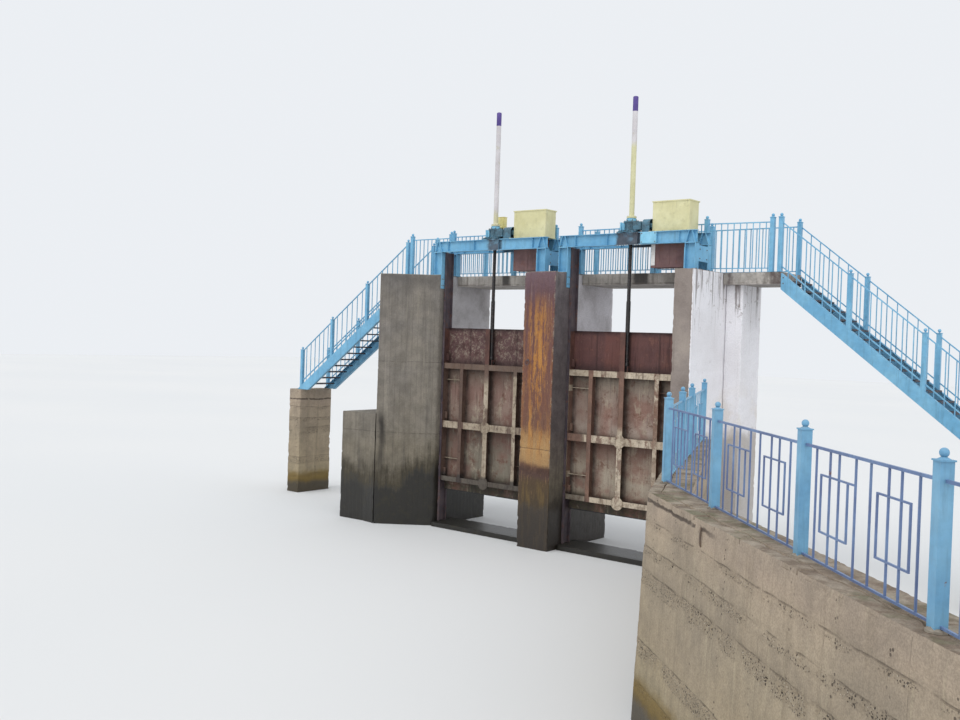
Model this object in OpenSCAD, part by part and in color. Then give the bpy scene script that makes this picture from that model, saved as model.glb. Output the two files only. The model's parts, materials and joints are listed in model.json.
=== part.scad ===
// Twin-bay vertical lift sluice gate: concrete piers, two steel gates on
// rising stems, hoist frames, a walkway with two stairs, and a fenced wing wall.
// Frame: +X along the dam line, +Y upstream, +Z up. The origin is on the foot of
// the middle pier, in the middle of its width, under the plane of the gates.

/* [Bays] */
// Clear width of each bay between its piers
bay_w = 3000; // [2800:20:3200]
// Height of the piers above the foot
pier_h = 6450; // [6300:10:6600]
// Height of the wing wall above the foot
bank_h = 2950; // [2850:10:3050]
// Height of the sill that the gates close on
sill_h = 120; // [80:10:160]

/* [Piers] */
// Width of the middle pier
mid_w = 880; // [800:20:960]
// Width of the right pier
right_w = 460; // [400:20:520]
// Distance from the gate plane to the downstream noses
nose_y = 800; // [760:10:900]
// Distance from the gate plane to the upstream ends
tail_y = 1720; // [1680:10:1800]

/* [Gates] */
// Height of the gates' top edge as shown
gate_top = 5100; // [5050:10:5120]
// Height of the gates' lower lip as shown
gate_lip = 930; // [900:10:1000]
// Thickness of the skin plate
skin_t = 12; // [8:1:16]
// Depth of the girders and ribs
gate_d = 190; // [170:5:190]
// Radius of the lifting stems
stem_r = 50; // [46:1:52]
// Radius of the stems' upper part, which runs in the covers
screw_r = 44; // [40:1:45]

/* [Hoists] */
// Height of the hoist beams
beam_h = 270; // [240:10:300]
// Height of the hoist posts above the piers
post_h = 580; // [560:10:620]
// Outer radius of the stem cover tubes
tube_r = 58; // [56:1:80]

/* [Walkway] */
// Thickness of the walkway slab
slab_t = 260; // [200:10:300]
// Downstream edge of the slab over the bays
slab_y0 = 300; // [290:10:340]
// Near side of the stairs and landings
walk_y0 = 580; // [560:10:620]
// Number of risers in each stair
risers = 18; // [18:1:18]
// Going of each stair tread
going = 246; // [236:1:256]
// Height of the railing's top rail
rail_h = 1050; // [1000:10:1100]
// Width of the square railing bars
bar_w = 18; // [14:1:22]

/* [Fence] */
// Height of the fence posts without their balls
fence_h = 1150; // [1100:10:1200]
// Width of the square fence posts
fpost_w = 100; // [90:5:110]

/* [Hidden] */

blue = [0.36, 0.62, 0.80];
conc = [0.62, 0.58, 0.52];
rust = [0.42, 0.25, 0.20];

xp = mid_w / 2;                 // inner edge of both bays
xo = xp + bay_w;                // outer edge of both bays
cx = xp + bay_w / 2;            // centre of a bay
land_x = 5200;                  // outer end of the right landing
lland_x = -5450;                // outer end of the left landing
walk_y1 = 1730;                 // far side of the stairs and landings
rise = (pier_h - bank_h) / risers;
run = risers * going;
slope = rise / going;
// The left stair ends higher than the right one and is flatter
lgoing = 268;
lrisers = risers - 1;
lrun = lrisers * lgoing;
stem_dx = 10;                   // the stem stands beside the middle rib
stem_y = -80;
beam_z = pier_h + post_h;       // underside of the hoist beams
deck_z = beam_z + beam_h;       // top of the hoist beams

// Wing wall: the top edge of its open face runs from the right pier (V1) to a
// corner (W0) and on to its far end; n points away from that face
wall_w = 560;
function unit(a) = a / norm(a);
function left_of(a) = [-a[1], a[0]];
W0 = [7210, -8300];
V1 = [3840, -800];
d1 = unit([7255, -6882]);
d2 = unit(W0 - V1);
n1 = left_of(d1);
n2 = left_of(d2);
mitre = (n1 + n2) / (1 + n1 * n2);
W1 = W0 + d1 * 9000;
W2 = W1 + n1 * wall_w;
W3 = W0 + mitre * wall_w;
V2 = V1 + [wall_w / n2[0], 0];

// Fence posts on the wall, corner first, then along both runs
F0 = [6987, -7387];
f1 = unit([691, -723]);
f2 = unit([380, -925]);
FRONT = [for (t = [0, 2095, 4595, 6915, 9240]) F0 + f1 * t];
BACK = [for (t = [0, 1990, 3680, 6560]) F0 - f2 * t];

function ang(a, b) = atan2(b[1] - a[1], b[0] - a[0]);
function len2(a, b) = norm([b[0] - a[0], b[1] - a[1]]);

// ---- concrete ------------------------------------------------------------
module left_pier() {
  color(conc) linear_extrude(pier_h)
    polygon([[-xo, tail_y], [-xo, -360], [-4020, -820], [-4680, -1310],
             [lland_x, -450], [lland_x, tail_y]]);
}

module middle_pier() {
  color([0.50, 0.38, 0.26]) translate([-xp, -nose_y, 0])
    cube([mid_w, nose_y + tail_y, pier_h]);
}

module right_pier() {
  color([0.72, 0.69, 0.66]) translate([xo, -nose_y, 0])
    cube([right_w, nose_y + 850, pier_h]);
}

module landing_wall() {
  color([0.85, 0.84, 0.83]) translate([xo + right_w, 760, 0])
    cube([400, tail_y - 760, pier_h - slab_t]);
}

module bay_sills() {
  for (s = [-1, 1]) color(conc) translate([s * cx - bay_w / 2, -450, 0])
    cube([bay_w, 900, sill_h]);
}

module walkway_slab() {
  z0 = pier_h - slab_t;
  color([0.60, 0.58, 0.54]) {
    translate([-xo, slab_y0, z0]) cube([bay_w, tail_y - slab_y0, slab_t]);
    translate([xp, 0, z0]) linear_extrude(slab_t)
      polygon([[0, slab_y0], [bay_w, slab_y0], [bay_w, 850], [bay_w + right_w, 850],
               [bay_w + right_w, walk_y0], [land_x - xp, walk_y0],
               [land_x - xp, tail_y], [0, tail_y]]);
  }
}

module left_abutment() {
  color(conc) linear_extrude(2820)
    polygon([[-4680, -1310], [-5160, -1230], [-5990, -1260], [-5990, tail_y],
             [lland_x, tail_y], [lland_x, -450]]);
}

// Straight retaining wall that starts at a and runs along d, its open face
// battered; the plan polygon cuts its ends
module wall_run(a, d, len, h, batter, plan) {
  intersection() {
    translate([a[0], a[1], 0]) rotate([0, 0, atan2(d[1], d[0])]) rotate([90, 0, 90])
      linear_extrude(len)
        polygon([[-batter, 0], [wall_w, 0], [wall_w, h - 0.1], [0, h - 0.1]]);
    translate([0, 0, -10]) linear_extrude(h + 20) polygon(plan);
  }
}

module right_wing_wall() {
  m = unit(mitre);
  color([0.66, 0.60, 0.52])
    wall_run(W0 - d1 * 600, d1, 10000, bank_h - 140, 110,
      [W0 - m * 800, W3 + m * 800, W2 + n1 * 400, W1 - n1 * 400]);
}

module wing_wall_return() {
  m = unit(mitre);
  color([0.66, 0.60, 0.52])
    wall_run(V1 - d2 * 600, d2, 10000, bank_h - 140, 110,
      [V1 - [600, 0], V2 + [600, 0], W3 + m * 800, W0 - m * 800]);
}

module wing_wall_coping() {
  h = 140;
  color([0.68, 0.63, 0.56]) translate([0, 0, bank_h - h]) linear_extrude(h)
    polygon([W0, W1, W2, W3, V2, V1]);
}

module stair_footings() {
  color(conc) {
    translate([land_x + run - 260, walk_y0 - 60, 0])
      cube([520, walk_y1 - walk_y0 + 120, bank_h]);
    translate([lland_x - lrun - 260, walk_y0 - 60, 0])
      cube([520, walk_y1 - walk_y0 + 120, bank_h + rise]);
  }
}

// ---- gates ---------------------------------------------------------------
// Channel fixed to a pier's side; the open side faces +X
module guide() {
  h = beam_z - sill_h;
  translate([0, 0, sill_h]) difference() {
    translate([0, -220, 0]) cube([60, 280, h]);
    translate([14, -204, -1]) cube([60, 248, h + 2]);
  }
}

module bay_guides(c) {
  color([0.27, 0.22, 0.21]) {
    translate([c - bay_w / 2, 0, 0]) guide();
    translate([c + bay_w / 2, 0, 0]) mirror([1, 0, 0]) guide();
  }
}
module left_bay_guides() { bay_guides(-cx); }
module right_bay_guides() { bay_guides(cx); }

gw = bay_w - 60;                // width of a gate
girder_z = [1235, 2630, 4130];  // middle heights of the girders
girder_f = [120, 170, 140];     // heights of their flanges
rib_dx = 855;                   // distance from the middle rib to the others

module gate_skin(c) {
  color([0.60, 0.53, 0.43]) translate([c - gw / 2, 0, gate_lip])
    cube([gw, skin_t, girder_z[2] - gate_lip]);
}

module gate_top_plates(c) {
  w = gw / 4;
  color(rust) {
    translate([c - gw / 2, 0, girder_z[2]]) cube([gw, skin_t, gate_top - girder_z[2]]);
    // angle along the top edge
    translate([c - gw / 2, -25, gate_top - 10]) cube([gw, 26, 10]);
  }
}

module gate_rib(x, z0, z1, fw, side) {
  translate([x - 6, -gate_d, z0]) cube([12, gate_d, z1 - z0]);
  translate([x - fw / 2 + side, -gate_d, z0]) cube([fw, 14, z1 - z0]);
}

module gate_frame(c) {
  zb = girder_z[0];
  zt = girder_z[2];
  color([0.55, 0.47, 0.36]) {
    // end plates
    for (s = [-1, 1]) translate([c + s * (gw / 2 - 6) - 6, -gate_d, zb - 60])
      cube([12, gate_d, gate_top - 12 - zb + 60]);
    // girders: a web against the skin and a flange facing downstream
    for (i = [0:2]) {
      translate([c - gw / 2, -gate_d, girder_z[i] - 7]) cube([gw, gate_d, 14]);
      translate([c - gw / 2, -gate_d, girder_z[i] - girder_f[i] / 2])
        cube([gw, 14, girder_f[i]]);
    }
    for (s = [-1, 1]) translate([c, 0, 0]) gate_rib(s * rib_dx, zb, zt, 100, 0);
    translate([c, 0, 0]) gate_rib(-80, zb, gate_top - 12, 130, 40);
    // short stiffeners in the outer columns
    for (s = [-1, 1], z = [1750, 3770])
      translate([c + s * (rib_dx + (gw / 2 - rib_dx) / 2) - (gw / 2 - rib_dx) / 2, -90, z])
        cube([gw / 2 - rib_dx, 90, 12]);
    // round plates where the middle rib crosses the lower girders
    for (i = [0, 1]) translate([c - 40, -gate_d, girder_z[i]])
      rotate([90, 0, 0]) cylinder(h = 16, r = 150, $fn = 48);
    // lugs that take the stem's end
    difference() {
      for (s = [-1, 1]) translate([c + stem_dx + s * 62 - 8, stem_y - 60, zt + 7])
        cube([16, 120, 190]);
      translate([c + stem_dx - 90, stem_y, zt + 120]) rotate([0, 90, 0])
        cylinder(h = 180, r = 27, $fn = 32);
    }
  }
}

module gate_stem(c) {
  zt = girder_z[2];
  color([0.22, 0.19, 0.18]) translate([c + stem_dx, stem_y, 0]) {
    translate([0, 0, zt + 60]) cylinder(h = 5800 - zt - 60, r = stem_r, $fn = 48);
    translate([0, 0, 5790]) cylinder(h = 8600 - 5790, r = screw_r, $fn = 48);
    // flattened eye and its pin
    translate([-54, -45, zt + 30]) cube([108, 90, 220]);
    translate([-80, 0, zt + 120]) rotate([0, 90, 0]) cylinder(h = 160, r = 26, $fn = 32);
  }
}

module left_gate_skin() { gate_skin(-cx); }
module left_gate_top_plates() { gate_top_plates(-cx); }
module left_gate_frame() { gate_frame(-cx); }
module left_gate_stem() { gate_stem(-cx); }
module right_gate_skin() { gate_skin(cx); }
module right_gate_top_plates() { gate_top_plates(cx); }
module right_gate_frame() { gate_frame(cx); }
module right_gate_stem() { gate_stem(cx); }

// ---- hoists --------------------------------------------------------------
hf_y = -360;                    // face of the front beam
hr_y = 250;                     // face of the rear beam
fl = 130;                       // width of the beams' flanges

// I section along X, its web facing downstream
module i_beam(x0, x1, y0, z0, h) {
  translate([x0, y0, z0]) cube([x1 - x0, fl, 14]);
  translate([x0, y0, z0 + h - 14]) cube([x1 - x0, fl, 14]);
  translate([x0, y0 + fl / 2 - 6, z0]) cube([x1 - x0, 12, h]);
}

module hoist_beams(c) {
  color(blue) {
    for (y = [hf_y, hr_y]) {
      i_beam(c - 1760, c + 1760, y, beam_z, beam_h);
      // web stiffeners and the leaning gusset plates over the posts
      for (s = [-1, 1]) {
        translate([c + s * 1625, 0, 0]) for (t = [-1, 1])
          translate([0, y, beam_z + 14]) rotate([90, 0, 0]) mirror([0, 0, 1])
            linear_extrude(fl) polygon([[t * 100, 0], [t * 114, 0],
              [t * 44, beam_h - 28], [t * 30, beam_h - 28]]);
      }
    }
  }
}

module post(x, y0, d) {
  w = 250;
  for (s = [-1, 1]) translate([x + s * (w / 2 - 7) - 7, y0, pier_h]) cube([14, d, post_h]);
  translate([x - w / 2, y0 + d / 2 - 6, pier_h]) cube([w, 12, post_h]);
}

module hoist_end_frames(c) {
  color(blue) for (s = [-1, 1]) {
    post(c + s * 1625, hf_y, 170);
    post(c + s * 1625, hr_y - 20, 170);
    // plate that ties the two posts
    translate([c + s * 1743 - 7, hf_y + 170, pier_h + 190])
      cube([14, hr_y - 20 - hf_y - 170, 340]);
    // strap down the pier's side
    translate([c + s * 1495 - 5, hf_y, pier_h - 350]) cube([10, 130, 350 + post_h - 100]);
  }
}

module gearbox(c, cab) {
  x = c + stem_dx;
  color([0.28, 0.38, 0.44]) difference() {
    union() {
      // two bearers across the beams
      for (s = [-1, 1]) translate([x + s * 160 - 50, hf_y, deck_z]) cube([100, hr_y + fl - hf_y, 30]);
      translate([x - 230, stem_y - 190, deck_z + 30]) cube([460, 380, 25]);
      translate([x, stem_y, deck_z + 55]) cylinder(h = 190, r = 150, $fn = 48);
      translate([x, stem_y, deck_z + 245]) cylinder(h = 30, r = 175, $fn = 48);
      translate([x, stem_y, deck_z + 275]) cylinder(h = 75, r = 95, $fn = 48);
      // worm housing and its shaft towards the drive cabinet
      translate([x + 120, stem_y - 130, deck_z + 75]) cube([200, 260, 180]);
      translate([x + 320, stem_y, deck_z + 165]) rotate([0, 90, 0]) 
        cylinder(h = cab - stem_dx - 320, r = 60, $fn = 32);
      translate([x - 240, stem_y - 60, deck_z + 75]) cube([110, 120, 150]);
    }
    translate([x, stem_y, deck_z - 10]) cylinder(h = 400, r = screw_r + 8, $fn = 48);
  }
}

module stem_cover(c, top, col) {
  color(col) translate([c + stem_dx, stem_y, 0]) difference() {
    union() {
      translate([0, 0, deck_z + 350]) cylinder(h = 40, r = 110, $fn = 48);
      translate([0, 0, deck_z + 350]) cylinder(h = top - deck_z - 350, r = tube_r, $fn = 48);
    }
    translate([0, 0, deck_z + 340]) cylinder(h = top - deck_z - 340 - 40, r = tube_r - 8, $fn = 48);
  }
}

cab_y = -100;
module cabinet(c, x0, w) {
  color([0.87, 0.84, 0.63]) translate([c + x0, cab_y, deck_z + 10]) {
    cube([w, 440, 680]);
    translate([-12, -12, 680]) cube([w + 24, 464, 14]);
  }
  color([0.87, 0.84, 0.63]) for (dx = [x0 + 60, x0 + w - 120])
    translate([c + dx, hf_y, deck_z]) cube([60, hr_y + fl - hf_y, 10]);
}

module cabinet_base(c, x0) {
  color([0.38, 0.24, 0.20]) translate([c + x0, cab_y, pier_h + 80])
    cube([1430 - x0, 330, deck_z - pier_h - 80]);
}

module left_hoist_beams() { hoist_beams(-cx); }
module left_hoist_end_frames() { hoist_end_frames(-cx); }
module left_gearbox() { gearbox(-cx, 590); }
module left_stem_cover() { stem_cover(-cx, 10440, [0.90, 0.90, 0.86]); }
module left_cabinet() { cabinet(-cx, 590, 950); }
module left_cabinet_base() { cabinet_base(-cx, 620); }
module right_hoist_beams() { hoist_beams(cx); }
module right_hoist_end_frames() { hoist_end_frames(cx); }
module right_gearbox() { gearbox(cx, 550); }
module right_stem_cover() { stem_cover(cx, 10350, [0.90, 0.87, 0.66]); }
module right_cabinet() { cabinet(cx, 550, 900); }
module right_cabinet_base() { cabinet_base(cx, 550); }

// ---- railings ------------------------------------------------------------
// Square post with a cap and a ball
module rail_post(x, y, z, h, w) {
  translate([x - w / 2, y - w / 2, z]) cube([w, w, h]);
  translate([x - w / 2 - 8, y - w / 2 - 8, z + h]) cube([w + 16, w + 16, 12]);
  translate([x, y, z + h + 12]) cylinder(h = 25, r = 16, $fn = 24);
  translate([x, y, z + h + 58]) sphere(r = 34, $fn = 32);
}

// Level railing along X from x0 to x1: posts at xs, bars about 130 apart
module level_rail(x0, x1, y, z, xs, sp) {
  n = floor((x1 - x0) / sp);
  d = (x1 - x0) / n;
  translate([x0, y - 14, z + rail_h - 12]) cube([x1 - x0, 28, 24]);
  translate([x0, y - 12, z + 70]) cube([x1 - x0, 24, 20]);
  for (i = [1:n - 1]) translate([x0 + i * d - bar_w / 2, y - bar_w / 2, z + 80])
    cube([bar_w, bar_w, rail_h - 80]);
  for (x = xs) rail_post(x, y, z, rail_h + 90, 90);
}

module deck_front_railing() {
  color(blue) {
    level_rail(-3730, -460, 450, pier_h, [-3730, -1710, -460], 131);
    level_rail(260, xo + 100, 450, pier_h, [260, 2250, xo + 100], 131);
  }
}

module deck_rear_railing() {
  color(blue) level_rail(lland_x + 60, land_x - 60, tail_y - 60, pier_h,
    [lland_x + 60, -3600, -1810, -50, 1690, 3060, land_x - 60], 140);
}

module landing_railings() {
  color(blue) {
    // runs on from the deck railing's last post to one near the landing's end
    translate([xo + 148, 452, pier_h]) rotate([0, 0, ang([xo + 148, 452], [4960, 630])]) {
      L = len2([xo + 148, 452], [4960, 630]);
      translate([0, -14, rail_h - 12]) cube([L, 28, 24]);
      translate([0, -12, 70]) cube([L, 24, 20]);
      for (i = [1:9]) translate([i * L / 10 - bar_w / 2, -bar_w / 2, 80])
        cube([bar_w, bar_w, rail_h - 80]);
    }
    rail_post(4960, 630, pier_h, rail_h + 90, 90);
    level_rail(lland_x + 60, -3980, walk_y0 + 50, pier_h, [lland_x + 60, -3980], 140);
  }
}

// ---- stairs (built going down towards +X from x = 0, top at z = 0) ---------
// n risers with a going of g
st_d = 340;                     // stringer depth measured upright
fl_w = 90;                      // width of the stringers' flanges
module stringers(n, g) {
  s = rise / g;
  x1 = (rise * n - 30) / s;
  x2 = (rise * n - 30 - st_d) / s;
  for (y = [walk_y0, walk_y1 - fl_w]) {
    in = y == walk_y0 ? 0 : fl_w - 8;
    translate([0, y + in, 0]) rotate([90, 0, 0]) mirror([0, 0, 1]) linear_extrude(8)
      polygon([[0, -30], [x1, -rise * n], [x2, -rise * n], [0, -30 - st_d]]);
    translate([0, y, 0]) rotate([90, 0, 0]) mirror([0, 0, 1]) linear_extrude(fl_w)
      polygon([[0, -30], [x1, -rise * n], [x1 - 16 / s, -rise * n], [0, -46]]);
    translate([0, y, 0]) rotate([90, 0, 0]) mirror([0, 0, 1]) linear_extrude(fl_w)
      polygon([[0, -14 - st_d], [x2 + 16 / s, -rise * n], [x2, -rise * n], [0, -30 - st_d]]);
  }
}

module treads(n, g) {
  for (i = [1:n - 1])
    translate([(i - 1) * g + 4, walk_y0 + fl_w, -i * rise - 40])
      cube([g + 20, walk_y1 - walk_y0 - 2 * fl_w, 36]);
}

// Upright of square section whose foot is cut to the slope s
module slope_upright(y, w, h, s) {
  translate([0, y - w / 2, 0]) rotate([90, 0, 0]) mirror([0, 0, 1]) linear_extrude(w)
    polygon([[-w / 2, s * w / 2], [w / 2, -s * w / 2], [w / 2, h], [-w / 2, h]]);
}

// Railing that follows the slope s from xs[0] on, with posts at the other xs
module slope_rail(y, s, xs) {
  m = len(xs) - 1;
  L = xs[m] - xs[0];
  function zf(x) = -29.8 - x * s;
  for (o = [120, rail_h - 20]) translate([xs[0], y - 14, zf(xs[0]) + o]) rotate([90, 0, 0])
    mirror([0, 0, 1]) linear_extrude(28)
      polygon([[0, 0], [L, -L * s], [L, -L * s + 30], [0, 30]]);
  for (i = [0:m - 1]) {
    d = xs[i + 1] - xs[i];
    nb = round(d / 195);
    for (j = [1:nb - 1]) {
      x = xs[i] + j * d / nb;
      translate([x, 0, zf(x)]) slope_upright(y, bar_w, rail_h, s);
    }
    translate([xs[i + 1], 0, zf(xs[i + 1])]) {
      slope_upright(y, 90, rail_h - 100, s);
      rail_post(0, y, rail_h - 100, 140, 90);
    }
  }
}

module right_stair_rails() {
  // the near first post stands on the landing; the far rail starts at the
  // end post of the rear railing
  slope_rail(walk_y0 + fl_w / 2, slope, [-50, 1430, 2890, 4248]);
  rail_post(-50, walk_y0 + fl_w / 2, 0, rail_h + 90, 90);
  slope_rail(walk_y1 - fl_w / 2, slope, [-14, 1420, 2870, 4248]);
}

module left_stair_rails() {
  s = rise / lgoing;
  for (y = [walk_y0 + fl_w / 2, walk_y1 - fl_w / 2]) {
    slope_rail(y, s, [100, 1650, 3080, 4370]);
    translate([100, 0, -29.8 - 100 * s]) {
      slope_upright(y, 90, rail_h - 100, s);
      rail_post(0, y, rail_h - 100, 140, 90);
    }
  }
}

module right_stair_stringers() { color(blue) translate([land_x, 0, pier_h]) stringers(risers, going); }
module right_stair_treads() { color([0.25, 0.22, 0.22]) translate([land_x, 0, pier_h]) treads(risers, going); }
module right_stair_railings() { color(blue) translate([land_x, 0, pier_h]) right_stair_rails(); }
module left_stair_stringers() { color(blue) translate([lland_x, 0, pier_h]) mirror([1, 0, 0]) stringers(lrisers, lgoing); }
module left_stair_treads() { color([0.25, 0.22, 0.22]) translate([lland_x, 0, pier_h]) mirror([1, 0, 0]) treads(lrisers, lgoing); }
module left_stair_railings() { color(blue) translate([lland_x, 0, pier_h]) mirror([1, 0, 0]) left_stair_rails(); }

// ---- fence on the wing wall ----------------------------------------------
module fence_posts() {
  color(blue) {
    for (p = FRONT) translate([p[0], p[1], bank_h]) rotate([0, 0, ang([0, 0], f1)])
      rail_post(0, 0, 0, fence_h, fpost_w);
    for (i = [1:3]) translate([BACK[i][0], BACK[i][1], bank_h]) rotate([0, 0, ang([0, 0], f2)])
      rail_post(0, 0, 0, fence_h, fpost_w);
  }
}

// Panel between two posts: rails, full bars and two rectangles
module fence_panel(a, b, extra = 0) {
  D = len2(a, b);
  L = D - fpost_w - extra - 0.3;
  x0 = fpost_w / 2 + extra + 0.15;
  t = 16;
  top = 1020;
  r0 = 290;
  r1 = 800;
  color(blue) translate([a[0], a[1], bank_h]) rotate([0, 0, ang(a, b)]) {
    translate([x0, -12, top - 12]) cube([L, 24, 24]);
    translate([x0, -10, 24]) cube([L, 20, 20]);
    for (k = [0.12, 0.24, 0.315, 0.447, 0.557, 0.682, 0.765, 0.875])
      translate([k * D - t / 2, -t / 2, 34]) cube([t, t, top - 34]);
    for (c = [[0.165, 0.387], [0.607, 0.824]]) {
      for (k = c) translate([k * D - t / 2, -t / 2, r0]) cube([t, t, r1 - r0]);
      for (z = [r0, r1 - t]) translate([c[0] * D, -t / 2, z]) cube([(c[1] - c[0]) * D, t, t]);
    }
    // short arm from the first rectangle's top to the next bar
    translate([0.387 * D, -t / 2, r1 - t]) cube([0.06 * D, t, t]);
  }
}

module return_fence_panels() {
  for (i = [0:len(BACK) - 2]) fence_panel(BACK[i], BACK[i + 1], i == 0 ? 10 : 0);
}
module front_fence_panels() { for (i = [0:len(FRONT) - 2]) fence_panel(FRONT[i], FRONT[i + 1]); }

left_pier();
middle_pier();
right_pier();
landing_wall();
bay_sills();
walkway_slab();
left_abutment();
right_wing_wall();
wing_wall_return();
wing_wall_coping();
stair_footings();
left_bay_guides();
right_bay_guides();
left_gate_skin();
left_gate_top_plates();
left_gate_frame();
left_gate_stem();
right_gate_skin();
right_gate_top_plates();
right_gate_frame();
right_gate_stem();
left_hoist_beams();
left_hoist_end_frames();
left_gearbox();
left_stem_cover();
left_cabinet();
left_cabinet_base();
right_hoist_beams();
right_hoist_end_frames();
right_gearbox();
right_stem_cover();
right_cabinet();
right_cabinet_base();
deck_front_railing();
deck_rear_railing();
landing_railings();
right_stair_stringers();
right_stair_treads();
right_stair_railings();
left_stair_stringers();
left_stair_treads();
left_stair_railings();
fence_posts();
return_fence_panels();
front_fence_panels();
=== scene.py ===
import bpy, bmesh, json, math
import numpy as np
from mathutils import Matrix, Vector, geometry


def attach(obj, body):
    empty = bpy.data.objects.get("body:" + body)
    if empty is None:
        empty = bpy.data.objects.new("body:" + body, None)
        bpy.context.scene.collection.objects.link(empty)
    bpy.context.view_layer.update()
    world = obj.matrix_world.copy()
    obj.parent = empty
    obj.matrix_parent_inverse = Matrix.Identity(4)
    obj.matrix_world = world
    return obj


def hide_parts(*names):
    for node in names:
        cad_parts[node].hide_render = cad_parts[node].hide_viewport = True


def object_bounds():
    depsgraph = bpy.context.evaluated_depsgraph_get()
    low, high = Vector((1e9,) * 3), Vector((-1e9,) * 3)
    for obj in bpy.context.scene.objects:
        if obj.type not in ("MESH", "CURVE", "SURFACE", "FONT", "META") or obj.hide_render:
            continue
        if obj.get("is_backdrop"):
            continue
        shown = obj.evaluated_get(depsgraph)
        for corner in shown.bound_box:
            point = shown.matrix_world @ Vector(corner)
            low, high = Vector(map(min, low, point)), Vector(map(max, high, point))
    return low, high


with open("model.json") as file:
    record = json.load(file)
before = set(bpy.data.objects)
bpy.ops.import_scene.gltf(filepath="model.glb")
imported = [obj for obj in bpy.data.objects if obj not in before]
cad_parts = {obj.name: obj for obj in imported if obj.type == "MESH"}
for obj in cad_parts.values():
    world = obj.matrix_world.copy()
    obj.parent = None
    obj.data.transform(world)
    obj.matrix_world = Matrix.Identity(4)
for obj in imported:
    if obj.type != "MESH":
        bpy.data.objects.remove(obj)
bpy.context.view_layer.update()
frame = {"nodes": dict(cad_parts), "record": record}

NODES = frame["nodes"]
SLOT = {s["node"]: s["material_slot"] for s in frame["record"]["subparts"]}
ROOT = bpy.context.scene.collection

# ------------------------------------------------------------------ helpers


def lin(c):
    c = c / 255.0
    return c / 12.92 if c <= 0.04045 else ((c + 0.055) / 1.055) ** 2.4


def col(c, a=1.0):
    return (lin(c[0]), lin(c[1]), lin(c[2]), a)


def _hash(ix, iy, iz, seed):
    n = (ix * 374761393 + iy * 668265263 + iz * 1442695041 + seed * 974634777) & 0xFFFFFFFF
    n = ((n ^ (n >> 13)) * 1274126177) & 0xFFFFFFFF
    n = ((n ^ (n >> 15)) * 2246822519) & 0xFFFFFFFF
    return ((n ^ (n >> 16)) & 0xFFFF) / 65535.0


def vnoise(P, s, seed=0):
    """Value noise from 0 to 1 at points P (n, 3), s cells to the metre."""
    q = np.asarray(P, float) * s + 1000.0
    i = np.floor(q).astype(np.int64)
    f = q - i
    f = f * f * (3 - 2 * f)
    r = 0.0
    for dx in (0, 1):
        wx = f[:, 0] if dx else 1 - f[:, 0]
        for dy in (0, 1):
            wy = f[:, 1] if dy else 1 - f[:, 1]
            for dz in (0, 1):
                wz = f[:, 2] if dz else 1 - f[:, 2]
                r = r + wx * wy * wz * _hash(i[:, 0] + dx, i[:, 1] + dy, i[:, 2] + dz, seed)
    return r


def fbm(P, s, octaves=3, seed=0):
    a, t, w = 1.0, 0.0, 0.0
    for k in range(octaves):
        t = t + a * vnoise(P, s * 2 ** k, seed + 17 * k)
        w += a
        a *= 0.5
    return t / w


def sstep(x, a, b):
    t = np.clip((x - a) / (b - a), 0, 1)
    return t * t * (3 - 2 * t)


def rnd(*k):
    """Repeatable number from 0 to 1 for the given whole numbers."""
    k = list(k) + [0, 0, 0]
    return float(_hash(np.array([k[0]]), np.array([k[1]]), np.array([k[2]]), 11 + k[3])[0])


def make(name, verts, faces, body="structure", mat=None, smooth=35, attrs=None, clean=False):
    me = bpy.data.meshes.new(name)
    me.from_pydata(verts if isinstance(verts, list) else verts.tolist(), [], faces if isinstance(faces, list) else faces.tolist())
    me.update()
    if attrs:
        for k, v in attrs.items():
            a = me.attributes.new(k, "FLOAT", "POINT")
            a.data.foreach_set("value", np.asarray(v, np.float32))
    o = bpy.data.objects.new(name, me)
    ROOT.objects.link(o)
    if smooth:
        me.polygons.foreach_set("use_smooth", [True] * len(me.polygons))
        me.set_sharp_from_angle(angle=math.radians(smooth))
    if mat is not None:
        me.materials.append(mat)
    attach(o, body)
    return o


def outward(me):
    """Turns the faces of closed shapes outwards."""
    bm = bmesh.new()
    bm.from_mesh(me)
    bmesh.ops.recalc_face_normals(bm, faces=bm.faces)
    bm.to_mesh(me)
    bm.free()


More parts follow.
